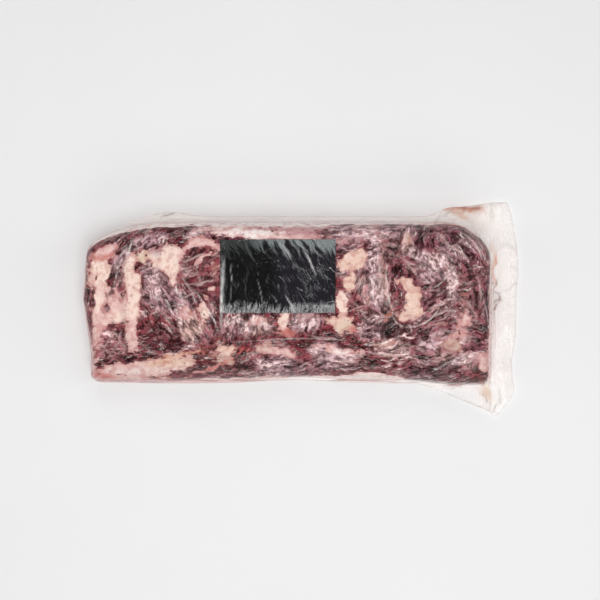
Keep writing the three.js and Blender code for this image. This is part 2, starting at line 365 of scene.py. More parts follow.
def makeMesh(name, points, faces, attributes, material):
    # A smooth mesh object from arrays in millimetres, with one number, vector or colour for each point in
    # each attribute.
    mesh = bpy.data.meshes.new(name)
    mesh.vertices.add(len(points))
    mesh.vertices.foreach_set("co", (points * metresPerMm).astype(np.float32).ravel())
    mesh.loops.add(faces.size)
    mesh.loops.foreach_set("vertex_index", faces.astype(np.int32).ravel())
    mesh.polygons.add(len(faces))
    mesh.polygons.foreach_set("loop_start", np.arange(0, faces.size, faces.shape[1], dtype=np.int32))
    mesh.polygons.foreach_set("use_smooth", np.ones(len(faces), dtype=bool))
    mesh.update(calc_edges=True)
    kinds = {1: ("FLOAT", "value"), 3: ("FLOAT_VECTOR", "vector"), 4: ("FLOAT_COLOR", "color")}
    for key, values in attributes.items():
        kind, field = kinds[values.size // len(points)]
        layer = mesh.attributes.new(key, kind, "POINT")
        layer.data.foreach_set(field, values.astype(np.float32).ravel())
    mesh.materials.append(material)
    piece = bpy.data.objects.new(name, mesh)
    bpy.context.collection.objects.link(piece)
    return piece


def withAlpha(colors):
    # Rows of red, green and blue, each with an alpha of 1.
    return np.concatenate([colors.reshape(-1, 3), np.ones((colors.size // 3, 1))], axis=1)


def srgb(red, green, blue):
    # The linear colour of 0..255 display values, with an alpha of 1.
    shares = np.array([red, green, blue]) / 255
    linear = np.where(shares <= 0.04045, shares / 12.92, ((shares + 0.055) / 1.055) ** 2.4)
    return tuple(float(value) for value in linear) + (1.0,)


def painted(base, color, share):
    # base + (color - base) * share, where color is display values and share is one number a point.
    return mix(base, np.array(srgb(*color))[:3], share[..., None])


class shaderValue:
    # A node's output that adds, subtracts, multiplies and divides like a number, each step a Math node.
    def __init__(self, tree, socket):
        self.tree = tree
        self.socket = socket

    def __add__(self, other):
        return mathNode(self.tree, "ADD", self, other)

    def __sub__(self, other):
        return mathNode(self.tree, "SUBTRACT", self, other)

    def __rsub__(self, other):
        return mathNode(self.tree, "SUBTRACT", other, self)

    def __mul__(self, other):
        return mathNode(self.tree, "MULTIPLY", self, other)

    def __truediv__(self, other):
        return mathNode(self.tree, "DIVIDE", self, other)

    def __rtruediv__(self, other):
        return mathNode(self.tree, "DIVIDE", other, self)


def feed(socket, value):
    # Links a shader value to the socket, or sets a plain value on it.
    if isinstance(value, shaderValue):
        value.tree.links.new(value.socket, socket)
    else:
        socket.default_value = value


def addNode(tree, kind, inputs=None, **settings):
    # A node with its settings and inputs.
    node = tree.nodes.new(kind)
    for key, value in settings.items():
        setattr(node, key, value)
    for key, value in (inputs or {}).items():
        feed(node.inputs[key], value)
    return node


def outputOf(tree, kind, inputs, output=0, **settings):
    # One output of a new node, as a shader value.
    return shaderValue(tree, addNode(tree, kind, inputs, **settings).outputs[output])


def mathNode(tree, operation, *values, clamp=False):
    # One arithmetic step on numbers or shader values, kept from 0 to 1 where clamp is set.
    inputs = dict(enumerate(values))
    return outputOf(tree, "ShaderNodeMath", inputs, operation=operation, use_clamp=clamp)


def strongest(first, second):
    # The larger of two shader values.
    return mathNode(first.tree, "MAXIMUM", first, second)


def eased(value, low, high, lowOut=0.0, highOut=1.0):
    # Eases a shader value from low..high to lowOut..highOut as t * t * (3 - 2 * t).
    inputs = {"Value": value, "From Min": low, "From Max": high, "To Min": lowOut, "To Max": highOut}
    return outputOf(value.tree, "ShaderNodeMapRange", inputs, interpolation_type="SMOOTHSTEP")


def blended(share, first, second, blend):
    # The Mix node's colour for share: each colour is a shader value or four linear values.
    tree = (share if isinstance(share, shaderValue) else first).tree
    inputs = {0: share, 6: first, 7: second}
    return outputOf(tree, "ShaderNodeMix", inputs, 2, data_type="RGBA", blend_type=blend)


def mixed(share, first, second):
    # first + (second - first) * share: each colour is a shader value or three display values.
    colors = [color if isinstance(color, shaderValue) else srgb(*color) for color in (first, second)]
    return blended(share, *colors, "MIX")


def scaled(color, factors):
    # The colour times one factor each for red, green and blue.
    return blended(1.0, color, (*factors, 1.0), "MULTIPLY")


def split(vector):
    # A vector's three values.
    outputs = addNode(vector.tree, "ShaderNodeSeparateXYZ", {0: vector}).outputs
    return [shaderValue(vector.tree, output) for output in outputs]


def attribute(tree, name, output="Fac"):
    # A mesh attribute's number, colour or vector.
    return outputOf(tree, "ShaderNodeAttribute", {}, output, attribute_name=name)


def flatNoise(place, scale, detail, roughness=0.5, output="Fac"):
    # Blender's noise over the flat place * scale.
    inputs = {"Vector": place, "Scale": scale, "Detail": detail, "Roughness": roughness}
    return outputOf(place.tree, "ShaderNodeTexNoise", inputs, output, noise_dimensions="2D")


def startGroup(name, inputs, outputs):
    # An empty group. Each input is a number with its default, or a vector where that is None, and each
    # output is a mask.
    tree = bpy.data.node_groups.new(name, "ShaderNodeTree")
    for key, default in inputs.items():
        kind = "NodeSocketVector" if default is None else "NodeSocketFloat"
        socket = tree.interface.new_socket(name=key, in_out="INPUT", socket_type=kind)
        if default is not None:
            socket.default_value = default
    for key in outputs:
        tree.interface.new_socket(name=key, in_out="OUTPUT", socket_type="NodeSocketFloat")
    given = addNode(tree, "NodeGroupInput").outputs
    named = {key: shaderValue(tree, given[key]) for key in inputs}
    return tree, named, addNode(tree, "NodeGroupOutput").inputs


def useGroup(group, **inputs):
    # The group's outputs by name, for these inputs, in the tree that its place comes from.
    tree = inputs["place"].tree
    named = {key.capitalize(): value for key, value in inputs.items()}
    node = addNode(tree, "ShaderNodeGroup", named, node_tree=group)
    return {output.name: shaderValue(tree, output) for output in node.outputs}


def startMaterial(name, roughness, specular):
    # A new material, its node tree and its Principled shader with these two values set.
    material = bpy.data.materials.new(name)
    material.use_nodes = True
    shader = material.node_tree.nodes["Principled BSDF"]
    shader.inputs["Roughness"].default_value = roughness
    shader.inputs["Specular IOR Level"].default_value = specular
    return material, material.node_tree, shader


strandShape = {"driftScale": 0.4, "driftReach": 1.4, "detail": 3.5, "roughness": 0.6, "cellScale": 1.6}


def makeStrandGroup():
    # Noise turned by Heading and drawn out along it by 1 / Stretch, after a slow drift of the place.
    # Field is that noise, Line eases from 0 to 1 as |Field - 0.5| / Width falls from 0.9 to 0.35, and
    # Tone is a fixed share for each cell of the same drawn-out place.
    inputs = {"Place": None, "Heading": 0.0, "Size": 5.0, "Stretch": 0.3, "Width": 0.05}
    tree, given, output = startGroup("Strands", inputs, ["Field", "Line", "Tone"])
    scale = 1.0 / given["Size"]
    drift = flatNoise(given["Place"], scale * strandShape["driftScale"], 1.0, output="Color")
    span = given["Size"] * strandShape["driftReach"]
    reach = outputOf(tree, "ShaderNodeCombineXYZ", {"X": span, "Y": span})
    moves = {0: drift, 1: reach, 2: given["Place"]}
    moved = outputOf(tree, "ShaderNodeVectorMath", moves, operation="MULTIPLY_ADD")
    turn = {"Vector": moved, "Angle": given["Heading"] * -1.0}
    turned = outputOf(tree, "ShaderNodeVectorRotate", turn, rotation_type="Z_AXIS")
    squeeze = outputOf(tree, "ShaderNodeCombineXYZ", {"X": given["Stretch"], "Y": 1.0})
    place = outputOf(tree, "ShaderNodeVectorMath", {0: turned, 1: squeeze}, operation="MULTIPLY")
    field = flatNoise(place, scale, strandShape["detail"], strandShape["roughness"])
    off = mathNode(tree, "ABSOLUTE", field - 0.5)
    cells = {"Vector": place, "Scale": scale * strandShape["cellScale"], "Randomness": 1.0}
    color = outputOf(tree, "ShaderNodeTexVoronoi", cells, "Color", voronoi_dimensions="2D")
    feed(output["Field"], field)
    feed(output["Line"], eased(off / given["Width"], 0.9, 0.35))
    feed(output["Tone"], split(color)[0])
    return tree


def makeMottleGroup():
    # Cloudy patches: (noise - 0.5) * Contrast + 0.5, kept from 0 to 1.
    tree, given, output = startGroup("Mottle", {"Place": None, "Size": 8.0, "Contrast": 2.0}, ["Mask"])
    field = flatNoise(given["Place"], 1.0 / given["Size"], 4.0)
    feed(output["Mask"], mathNode(tree, "ADD", (field - 0.5) * given["Contrast"], 0.5, clamp=True))
    return tree


strandGroup = makeStrandGroup()
mottleGroup = makeMottleGroup()
# The four ways in which strands and wrinkles lie, in degrees from the pack's length.
lays = {"down": -54, "up": 38, "upright": 84, "level": 5}


def layeredStrands(place, **shape):
    # Field, Line and Tone of the strand group: the sum over the lays of each one's value * its share.
    tree = place.tree
    shares = split(attribute(tree, "lay", "Vector"))
    shares.append(mathNode(tree, "SUBTRACT", 1.0, shares[0] + shares[1] + shares[2], clamp=True))
    totals = {}
    for share, heading in zip(shares, lays.values()):
        strands = useGroup(strandGroup, place=place, heading=math.radians(heading), **shape)
        for name, value in strands.items():
            totals[name] = totals[name] + value * share if name in totals else value * share
    return totals["Field"], totals["Line"], totals["Tone"]


# Display colour, share of silverskin and share of white strands of each lean tissue.
leans = {
    "maroon": ((112, 52, 57), 0.0, 0.58),
    "deepRed": ((98, 38, 44), 0.0, 0.36),
    "brightRed": ((148, 66, 62), 0.0, 0.4),
    "nearBlack": ((58, 28, 32), 0.0, 0.5),
    "plum": ((110, 62, 70), 0.1, 0.55),
    "brown": ((130, 72, 62), 0.0, 0.75),
    "mauve": ((142, 92, 95), 0.5, 0.85),
    "lilac": ((160, 126, 131), 0.9, 0.9),
    "greyLilac": ((138, 102, 108), 0.7, 0.9),
    "tanGrey": ((166, 132, 124), 0.7, 0.85),
    "muscle": ((86, 38, 43), 0.0, 0.2),
    "duskyRed": ((104, 56, 62), 0.1, 0.55),
}
# Display colour of each fat.
fats = {
    "cream": (244, 219, 206), "pinkFat": (230, 194, 188), "whiteFat": (250, 238, 234),
    "peach": (234, 202, 187), "tan": (206, 176, 163), "yellowFat": (226, 202, 182),
    "orangeFat": (222, 178, 156), "redFat": (206, 134, 126), "rosyFat": (198, 150, 153),
    "lilacFat": (208, 182, 182),
}

# Ellipses in chart units: middle u, v, half length, half width, turn in degrees, tissue, strength.
patches = [
    # The far edge, from left to right.
    (-150, 74, 46, 9, 4, "maroon", 1.0),
    (-120, 77, 30, 6, 0, "deepRed", 0.8),
    (-196, 60, 12, 3, 25, "pinkFat", 0.9),
    (-40, 76, 62, 7, -2, "pinkFat", 0.95),
    (-60, 79, 36, 7, -2, "whiteFat", 1.0),
    (-5, 80, 34, 5, -2, "pinkFat", 1.0),
    (45, 81, 40, 6, -2, "pinkFat", 0.8),
    (-67, 84, 10, 1.6, 0, "redFat", 1.0),
    (22, 80, 24, 2.2, -4, "rosyFat", 0.9),
    (0, 76, 24, 1.8, -3, "rosyFat", 0.7),
    (52, 86, 10, 2.4, 0, "tan", 0.8),
    (72, 84, 12, 1.6, 0, "brown", 0.4),
    (-74, 72, 18, 5.5, 0, "plum", 1.0),
    (-58, 82, 32, 5, -2, "whiteFat", 1.0),
    (-52, 78, 24, 4, 6, "whiteFat", 1.0),
    (-64, 82, 11, 1.7, 1, "brightRed", 0.8),
    (-64, 82, 14, 2.2, 1, "redFat", 0.7),
    (-26, 81.5, 28, 1.4, -1, "rosyFat", 1.0),
    (-105, 75, 12, 5, 0, "lilac", 0.8),
    (-117, 78, 5, 5, 0, "nearBlack", 0.7),
    (-88, 80, 8, 3, 10, "pinkFat", 0.8),
    (62, 78, 38, 9, -2, "lilac", 1.0),
    (70, 80, 40, 4, 0, "lilacFat", 0.55),
    (50, 69, 26, 6, -2, "lilacFat", 0.45),
    (100, 80, 32, 5, 4, "lilac", 0.7),
    # The left end.
    (-203, 33, 12, 20, 0, "cream", 1.0),
    (-200, 2, 11, 18, 0, "pinkFat", 1.0),
    (-204, 8, 6, 8, 0, "cream", 0.9),
    (-200, 53, 13, 4, 5, "redFat", 1.0),
    (-196, 58, 11, 2.6, 14, "pinkFat", 0.9),
    (-183, 48, 7, 5, 20, "tan", 0.8),
    (-196, -1, 4.5, 7, 0, "plum", 0.7),
    (-196, -13, 8, 5, 0, "pinkFat", 0.7),
    (-186, 32, 5, 22, -18, "maroon", 0.9),
    (-178, 51, 6, 14, -32, "lilac", 1.0),
    (-170, 16, 8, 38, 2, "cream", 1.0),
    (-178, -4, 12, 14, 0, "cream", 0.9),
    (-184, 12, 8, 12, 0, "pinkFat", 0.7),
    (-168, -28, 8, 14, 10, "pinkFat", 0.85),
    (-190, -24, 12, 5, -20, "pinkFat", 0.6),
    (-193, -36, 19, 15, 0, "mauve", 0.9),
    (-184, -32, 8, 8, 0, "maroon", 0.8),
    (-204, -22, 5, 14, 10, "pinkFat", 0.8),
    (-207, -48, 5, 18, 0, "pinkFat", 0.8),
    (-209, 8, 2.4, 16, 2, "maroon", 0.8),
    (-207, 34, 1.6, 14, 0, "deepRed", 0.6),
    (-205, -20, 2.4, 10, 4, "pinkFat", 0.7),
    (-176, -48, 18, 5, 4, "nearBlack", 0.6),
    # Between the left end and the label.
    (-155, 68, 14, 6, 8, "lilac", 1.0),
    (-146, 73, 12, 3, 0, "greyLilac", 0.7),
    (-140, 38, 17, 20, -5, "lilacFat", 0.85),
    (-152, 52, 14, 8, -10, "cream", 0.9),
    (-140, 58, 12, 6, 0, "lilacFat", 0.8),
    (-152, 66, 12, 5, 10, "greyLilac", 0.8),
    (-129, 45, 10, 21, -3, "cream", 1.0),
    (-146, 33, 12, 8, -20, "lilac", 0.7),
    (-158, 50, 6, 6, 0, "yellowFat", 0.8),
    (-152, 42, 3.5, 6.5, -30, "plum", 1.0),
    (-145, 20, 16, 18, 0, "lilac", 0.6),
    (-124, 4, 20, 16, -40, "greyLilac", 0.8),
    (-142, -20, 20, 18, 0, "maroon", 1.0),
    (-138, -30, 22, 13, 0, "nearBlack", 0.6),
    (-110, -20, 11, 13, 10, "tanGrey", 0.9),
    (-112, -6, 8, 8, -30, "pinkFat", 0.5),
    (-104, 50, 16, 12, 10, "muscle", 1.0),
    (-103, 24, 18, 14, 0, "deepRed", 1.0),
    (-94, 28, 10, 8, 0, "muscle", 0.8),
    (-98, 65, 18, 5, 4, "pinkFat", 1.0),
    (-118, 54, 3, 9, -10, "pinkFat", 0.8),
    (-96, 50, 14, 1.6, 38, "pinkFat", 0.9),
    (-85, 40, 3, 10, 0, "tan", 0.6),
    (-95, 2, 22, 5.5, 74, "cream", 0.85),
    (-90, 19, 6, 3.5, 20, "cream", 0.9),
    (-84, -1, 9, 19, 0, "muscle", 1.0),
    (-90, 8, 5, 9, 0, "plum", 0.7),
    (-104, 22, 12, 6, -10, "muscle", 0.8),
    (-86, -20, 6, 4, -30, "plum", 0.7),
    # Below the label.
    (-66, -19, 14, 11, 0, "plum", 1.0),
    (-64, -17, 10, 7, 0, "greyLilac", 0.6),
    (-42, -18, 13, 10, 0, "tanGrey", 0.9),
    (-42, -13, 8, 4, 0, "pinkFat", 0.6),
    (6, -13, 16, 10, 0, "lilac", 1.0),
    (6, -8, 10, 5, 0, "lilacFat", 0.6),
    (1, -37, 16, 9, -6, "deepRed", 1.0),
    (-18, -31, 22, 5, -6, "deepRed", 0.9),
    (-18, -11, 5.5, 9.5, 0, "cream", 1.0),
    (-14, -22, 9, 4.5, 0, "redFat", 0.9),
    (30, -24, 7, 6, 20, "deepRed", 0.9),
    # The near band.
    (-88, -42, 14, 12, -10, "brown", 0.9),
    (-92, -38, 9, 6, 0, "deepRed", 0.9),
    (-94, -29, 8, 7, 0, "plum", 0.8),
    (-92, -56, 12, 8, 0, "deepRed", 0.8),
    (-54, -52, 12, 18, 0, "deepRed", 1.0),
    (-74, -52, 10, 8, 0, "tan", 1.0),
    (-72, -41, 13, 3.6, 6, "peach", 0.9),
    (-57, -44, 9, 6, 20, "brightRed", 0.7),
    (-36, -38, 9, 5, -12, "tan", 0.9),
    (-18, -45, 17, 4.6, -12, "pinkFat", 0.9),
    (-24, -57, 22, 9, 0, "greyLilac", 1.0),
    (10, -59, 20, 9, 12, "plum", 0.8),
    (33, -42, 19, 9, -8, "lilac", 1.0),
    (30, -39, 14, 5, -8, "pinkFat", 0.8),
    (50, -41, 14, 3.5, -6, "pinkFat", 0.8),
    (43, -42, 6, 2.4, -10, "whiteFat", 0.8),
    (36, -53, 18, 6, -6, "lilac", 0.9),
    (70, -50, 14, 10, 0, "deepRed", 0.9),
    (-140, -57, 40, 7, 4, "cream", 0.9),
    (-172, -59, 28, 7, 2, "pinkFat", 1.0),
    (-166, -62, 30, 3, 3, "whiteFat", 0.8),
    (-126, -52, 26, 4, 8, "peach", 0.6),
    (-136, -51, 14, 1.6, 14, "orangeFat", 0.9),
    (-118, -45, 34, 1.4, 6, "orangeFat", 0.8),
    (-172, -68, 40, 6, 0, "pinkFat", 0.9),
    (-150, -73, 40, 2.4, 0, "redFat", 0.4),
    (-198, -66, 12, 4, -10, "redFat", 0.7),
    (-96, -63, 30, 7, 8, "deepRed", 1.0),
    (-88, -58, 22, 1.8, 22, "redFat", 0.9),
    # Between the label and the lobe.
    (36, 44, 3.6, 16, 0, "deepRed", 1.0),
    (60, 0, 18, 17, 0, "maroon", 1.0),
    (62, -2, 8, 10, 0, "nearBlack", 0.5),
    (54, 49, 16, 12, 0, "peach", 1.0),
    (54, 32, 11, 9, -20, "peach", 1.0),
    (46, 63, 12, 4, 0, "lilac", 0.8),
    (49, 27, 9, 9, 0, "peach", 1.0),
    (61, 22, 5, 9, 0, "tanGrey", 0.9),
    (41, 8, 6, 13, 4, "cream", 1.0),
    (47, 37, 5.5, 3.2, -20, "plum", 1.0),
    (60, 36, 4, 2.8, 0, "plum", 0.9),
    (47, 16, 9, 2.4, -38, "maroon", 0.9),
    (38, -12, 13, 7, 0, "peach", 0.95),
    (44, -20, 8, 5, 10, "yellowFat", 0.95),
    (52, -22, 5, 3, 0, "redFat", 0.9),
    (75, 28, 7, 46, 3, "greyLilac", 1.0),
    (73, 56, 6, 14, 0, "lilac", 0.8),
    (84, 16, 5, 34, 4, "tanGrey", 1.0),
    (72, -22, 15, 9, 0, "lilac", 0.8),
    (86, 62, 4, 15, -14, "deepRed", 1.0),
    (95, 28, 3.6, 24, 6, "deepRed", 0.9),
    (84, 50, 4, 12, 6, "pinkFat", 0.6),
    (63, 16, 5, 18, 0, "mauve", 0.8),
    # The lobe.
    (140, 10, 60, 80, 0, "plum", 0.6),
    (105, 68, 8, 10, 0, "tan", 0.9),
    (99, 68, 4, 8, 0, "pinkFat", 0.6),
    (106, 60, 8, 7, 0, "tanGrey", 0.7),
    (92, 60, 6, 12, 0, "duskyRed", 0.8),
    (124, 68, 10, 12, 0, "plum", 0.9),
    (124, 72, 7, 6, 0, "nearBlack", 0.6),
    (107, 40, 13, 11, -10, "duskyRed", 1.0),
    (131, 45, 20, 7, -30, "lilac", 0.9),
    (104, 25, 9, 7, -20, "peach", 1.0),
    (113, 7, 10.5, 15, -6, "peach", 1.0),
    (104, -8, 6, 7, -30, "peach", 1.0),
    (98, 15, 4, 9, 10, "maroon", 0.9),
    (95, -23, 19, 7, 0, "nearBlack", 0.9),
    (91, -8, 8, 6, 0, "brown", 1.0),
    (158, 66, 30, 16, -20, "plum", 0.9),
    (150, 56, 12, 10, 0, "greyLilac", 0.7),
    (166, 66, 12, 7, -30, "lilac", 0.6),
    (126, 32, 10, 7, -30, "lilac", 0.8),
    (132, 9, 13, 10, 10, "plum", 1.0),
    (151, 24, 5, 15, -12, "lilac", 1.0),
    (166, 8, 9, 30, 0, "duskyRed", 0.8),
    (164, 14, 5, 16, 0, "brown", 0.45),
    (166, -4, 4, 5, 0, "pinkFat", 0.6),
    (168, -50, 9, 8, 24, "lilacFat", 0.7),
    (182, 17, 8, 38, 0, "duskyRed", 0.9),
    (158, -26, 13, 6, 4, "pinkFat", 0.6),
    (142, -17, 6, 4, 10, "tan", 0.6),
    (177, -40, 9, 7, 0, "plum", 1.0),
    (136, -32, 9, 8, 10, "lilac", 1.0),
    (134, -32, 8, 6, 10, "lilacFat", 0.6),
    (151, -38, 9, 6, -20, "tan", 0.8),
    (124, -35, 9, 7, 0, "lilac", 0.9),
    (164, -50, 14, 6, 20, "lilacFat", 0.6),
    (144, -50, 10, 6, 0, "tanGrey", 0.7),
    (163, -13, 11, 7, -20, "pinkFat", 0.5),
    (91, -40, 15, 9, 0, "tanGrey", 1.0),
    (86, -38, 8, 4, 10, "tan", 0.6),
    (107, -28, 4, 1.6, 0, "whiteFat", 1.0),
    (126, -60, 36, 9, 6, "duskyRed", 0.8),
    (128, -61, 30, 5, 8, "nearBlack", 0.5),
    (161, -53, 15, 4, 24, "lilac", 1.0),
    (184, -56, 7, 11, 0, "pinkFat", 0.9),
    (177, -68, 9, 7, 0, "deepRed", 0.9),
    (174, -70, 6, 4, 0, "brightRed", 0.6),
]

# Pale seams between the muscles: from u, v to u, v, how far the middle bows, half width and strength.
seams = [
    (-120, 46, -80, 54, 2.0, 1.6, 1.0),
    (-123, 35, -106, 43, 1.5, 1.3, 0.9),
    (-108, 43, -99, 25, 2.0, 1.2, 0.9),
    (-117, 26, -81, 31, -2.0, 1.3, 0.9),
    (-121, 9, -105, 16, 1.0, 1.2, 0.8),
    (-114, 60, -90, 62, 1.0, 1.1, 0.7),
    (-208, -12, -173, -41, 3.0, 1.3, 0.9),
    (-200, 3, -180, -18, 2.0, 1.2, 0.9),
    (-205, -28, -185, -51, -2.0, 1.2, 0.8),
    (-181, -20, -190, -44, 2.0, 1.2, 0.8),
    (-172, -28, -150, -42, 2.0, 1.1, 0.7),
    (-206, 58, -180, 76, 2.0, 1.1, 0.7),
    (-172, 62, -140, 78, 2.0, 1.0, 0.6),
    (-98, -40, -62, -50, -3.0, 1.6, 0.9),
    (-96, -48, -74, -62, 2.0, 1.2, 0.8),
    (-46, -34, 4, -46, 3.0, 1.4, 0.8),
    (-8, -52, 30, -66, 2.0, 1.2, 0.7),
    (4, -26, 40, -30, -2.0, 1.4, 0.9),
    (22, -50, 66, -58, 2.0, 1.3, 0.8),
    (48, -34, 84, -48, -2.0, 1.3, 0.8),
    (40, 20, 52, 6, 2.0, 1.4, 0.9),
    (52, 10, 74, -14, -3.0, 1.2, 0.8),
    (44, -4, 68, 2, 2.0, 1.1, 0.7),
    (62, -6, 58, -34, 2.0, 1.2, 0.7),
    (76, 58, 80, 2, 1.5, 1.5, 0.9),
    (84, 52, 92, -6, -1.5, 1.5, 0.9),
    (79, 46, 86, 0, 1.0, 1.0, 0.7),
    (92, 54, 118, 44, -2.0, 1.2, 0.8),
    (98, 52, 116, 30, 2.0, 1.2, 0.8),
    (124, 55, 148, 50, -2.0, 1.4, 0.7),
    (135, 76, 149, 59, 2.0, 1.3, 0.9),
    (149, 59, 166, 73, 1.5, 1.2, 0.9),
    (142, 66, 172, 44, 3.0, 1.2, 0.8),
    (162, 77, 183, 46, 4.0, 1.3, 0.9),
    (170, 78, 188, 40, 4.0, 1.1, 0.9),
    (150, 38, 157, 12, -2.0, 1.9, 0.9),
    (124, 36, 143, 26, 3.0, 1.4, 0.6),
    (122, 15, 140, 17, 3.0, 1.2, 0.6),
    (126, -1, 147, 3, 2.0, 1.2, 0.8),
    (128, -10, 158, -4, 3.0, 1.2, 0.8),
    (157, 8, 169, -13, 2.0, 1.2, 0.8),
    (164, 12, 178, -16, 3.0, 1.2, 0.8),
    (120, -22, 150, -8, 2.0, 1.2, 0.8),
    (140, -19, 170, -33, -2.0, 1.8, 1.0),
    (148, -14, 180, -20, 3.0, 1.3, 0.8),
    (104, -34, 128, -48, 2.0, 1.2, 0.8),
    (60, -58, 110, -66, 2.0, 1.2, 0.6),
    (110, -52, 160, -46, -3.0, 1.2, 0.8),
    (176, 36, 180, 4, 2.0, 1.1, 0.7),
]

# Thin pale skin over the lean, in chart units: middle u, v, half length, half width, turn, strength.
veils = [
    (-134, 44, 24, 17, -10, 0.9),
    (-140, 16, 22, 16, -30, 0.5),
    (-108, -20, 15, 18, 10, 0.8),
    (-196, -2, 12, 20, 0, 0.7),
    (-175, 20, 14, 34, 0, 0.5),
    (-160, 64, 22, 7, 10, 0.5),
    (-94, 40, 16, 26, 0, 0.1),
    (-60, -18, 30, 11, 0, 0.6),
    (8, -12, 18, 9, 0, 0.6),
    (-26, -50, 26, 12, 0, 0.6),
    (33, -45, 22, 10, -6, 0.7),
    (56, 38, 16, 24, 0, 0.5),
    (75, 28, 14, 48, 2, 0.4),
    (82, 62, 30, 12, 0, 0.55),
    (104, 66, 12, 10, 0, 0.6),
    (134, 44, 26, 10, -30, 0.8),
    (151, 22, 9, 20, -10, 0.7),
    (134, 8, 26, 8, 30, 0.4),
    (156, -30, 26, 12, 0, 0.6),
    (92, -40, 18, 10, 0, 0.8),
    (165, -56, 18, 6, 25, 0.7),
    (60, 76, 90, 9, -2, 0.6),
    (170, 8, 12, 34, 0, 0.45),
    (140, -10, 30, 10, 10, 0.4),
    (-150, -56, 46, 9, 0, 0.4),
]

# Where the strands lie which way: middle u, v, reach and lay. Elsewhere they lie level.
layPlaces = [
    (-190, 38, 18, "up"),
    (-176, 60, 18, "up"),
    (-150, 60, 20, "up"),
    (-200, 5, 16, "upright"),
    (-172, 10, 12, "upright"),
    (-132, 5, 28, "down"),
    (-95, -10, 20, "down"),
    (-100, 45, 20, "up"),
    (-60, -18, 20, "upright"),
    (-50, 20, 24, "upright"),
    (5, 35, 30, "down"),
    (8, -12, 14, "upright"),
    (10, -58, 14, "up"),
    (-60, -48, 12, "up"),
    (75, 25, 22, "upright"),
    (92, 25, 14, "upright"),
    (115, 70, 16, "upright"),
    (140, 45, 18, "down"),
    (172, 62, 22, "down"),
    (186, 10, 16, "upright"),
    (140, 8, 16, "up"),
    (118, -18, 16, "up"),
    (165, -58, 18, "up"),
]


# The lean's near boundary as charted: its v at the left, in the middle and at the right, the places u
# between which it changes, and the crest on it.
footFat = {"left": -71.5, "middle": -67, "right": -80}
footBends = {"leftFrom": -150, "leftTo": 0, "rightFrom": 85, "rightTo": 150}
footCrest = {"u": 68, "halfWidth": 20, "height": 4}


def footLine(u):
    # The boundary's v: left, then middle, then right, eased from one to the next, plus the crest's bell.
    level = mix(footFat["left"], footFat["middle"], easeStep(u, footBends["leftFrom"], footBends["leftTo"]))
    level = mix(level, footFat["right"], easeStep(u, footBends["rightFrom"], footBends["rightTo"]))
    return level + footCrest["height"] * hump(u - footCrest["u"], footCrest["halfWidth"])


def chartOf(x, y, z):
    # u and v: x and y divided by the unit and by (1 - z / height), as the camera sees them.
    scale = chartUnit * (1 - z / camera["height"])
    u = (x - camera["x"]) / scale + camera["x"] / chartUnit
    v = (y - camera["y"]) / scale + camera["y"] / chartUnit
    return u, v


def layOf(u, v):
    # The shares of the lays down, up and upright: each place's bell, cubed so that one lay leads, over
    # the sum of all. Level has a quarter everywhere.
    sums = {name: np.zeros(u.shape) for name in lays}
    sums["level"] = sums["level"] + 0.25
    for middleU, middleV, reach, name in layPlaces:
        sums[name] = sums[name] + hump(np.hypot(u - middleU, v - middleV), reach)
    cubes = {name: value**3 for name, value in sums.items()}
    total = sum(cubes.values())
    return np.stack([cubes[name] / total for name in ("down", "up", "upright")], -1)


def unrolled(x, y, z):
    # Places in millimetres as if the surface were rolled out flat: running lengths along the mesh
    # lines, measured from the line through the middle.
    def running(first, second, axis):
        # The running length of steps in first and second along an axis, from the middle line.
        steps = np.hypot(np.diff(first, axis=axis), np.diff(second, axis=axis))
        zero = np.zeros_like(np.take(first, [0], axis))
        lengths = np.concatenate([zero, np.cumsum(steps, axis=axis)], axis=axis)
        middle = first.shape[axis] // 2
        return lengths - np.take(lengths, [middle], axis) + np.take(first, [middle], axis)

    return np.stack([running(x, z, 0), running(y, z, 1), 0 * x], -1)


def reachOf(u, v, length, width, turnDegrees):
    # Distance from an ellipse's middle as a share of its half sizes.
    turn = math.radians(turnDegrees)
    along = (u * math.cos(turn) + v * math.sin(turn)) / length
    across = (v * math.cos(turn) - u * math.sin(turn)) / width
    return np.hypot(along, across)


def shareWithin(reach, edge, softness):
    # 0.5 + (edge - reach) / softness, kept from 0 to 1.
    return np.clip(0.5 + (edge - reach) / softness, 0, 1)


def lineMask(lines, u, v):
    # For each line, its strength * (1 - distance / half width), tapered to nothing at both ends; the
    # distance is taken from the straight line bent by the bow * 4 t (1 - t).
    mask = np.zeros(u.shape)
    for fromU, fromV, toU, toV, bow, halfWidth, strength in lines:
        length = math.hypot(toU - fromU, toV - fromV)
        alongU, alongV = (toU - fromU) / length, (toV - fromV) / length
        t = ((u - fromU) * alongU + (v - fromV) * alongV) / length
        inside = np.clip(4 * t * (1 - t), 0, 1)
        away = (v - fromV) * alongU - (u - fromU) * alongV - bow * inside
        line = np.clip(1.4 * (1 - np.abs(away) / halfWidth), 0, 1) * inside**0.7
        mask = np.maximum(mask, strength * line)
    return mask


def layeredRidges(x, y, shares, size, stretch, width, seed):
    # Ridges drawn out along each lay by 1 / stretch, each weighed by the share of that lay.
    weights = [*np.moveaxis(shares, -1, 0), 1 - shares.sum(-1)]
    total = 0
    for k, (weight, heading) in enumerate(zip(weights, lays.values())):
        turn = math.radians(heading)
        along = (x * math.cos(turn) + y * math.sin(turn)) * stretch
        across = y * math.cos(turn) - x * math.sin(turn)
        total = total + weight * ridges((along, across, 0 * across), size, seed + 7 * k, width)
    return total


# How far noise moves the patches' edges along u and v, in chart units, and that noise's size in millimetres.
patchWarp = {"wideU": 5.0, "wideV": 4.5, "wideSize": 24, "fine": 3.5, "fineSize": 8}


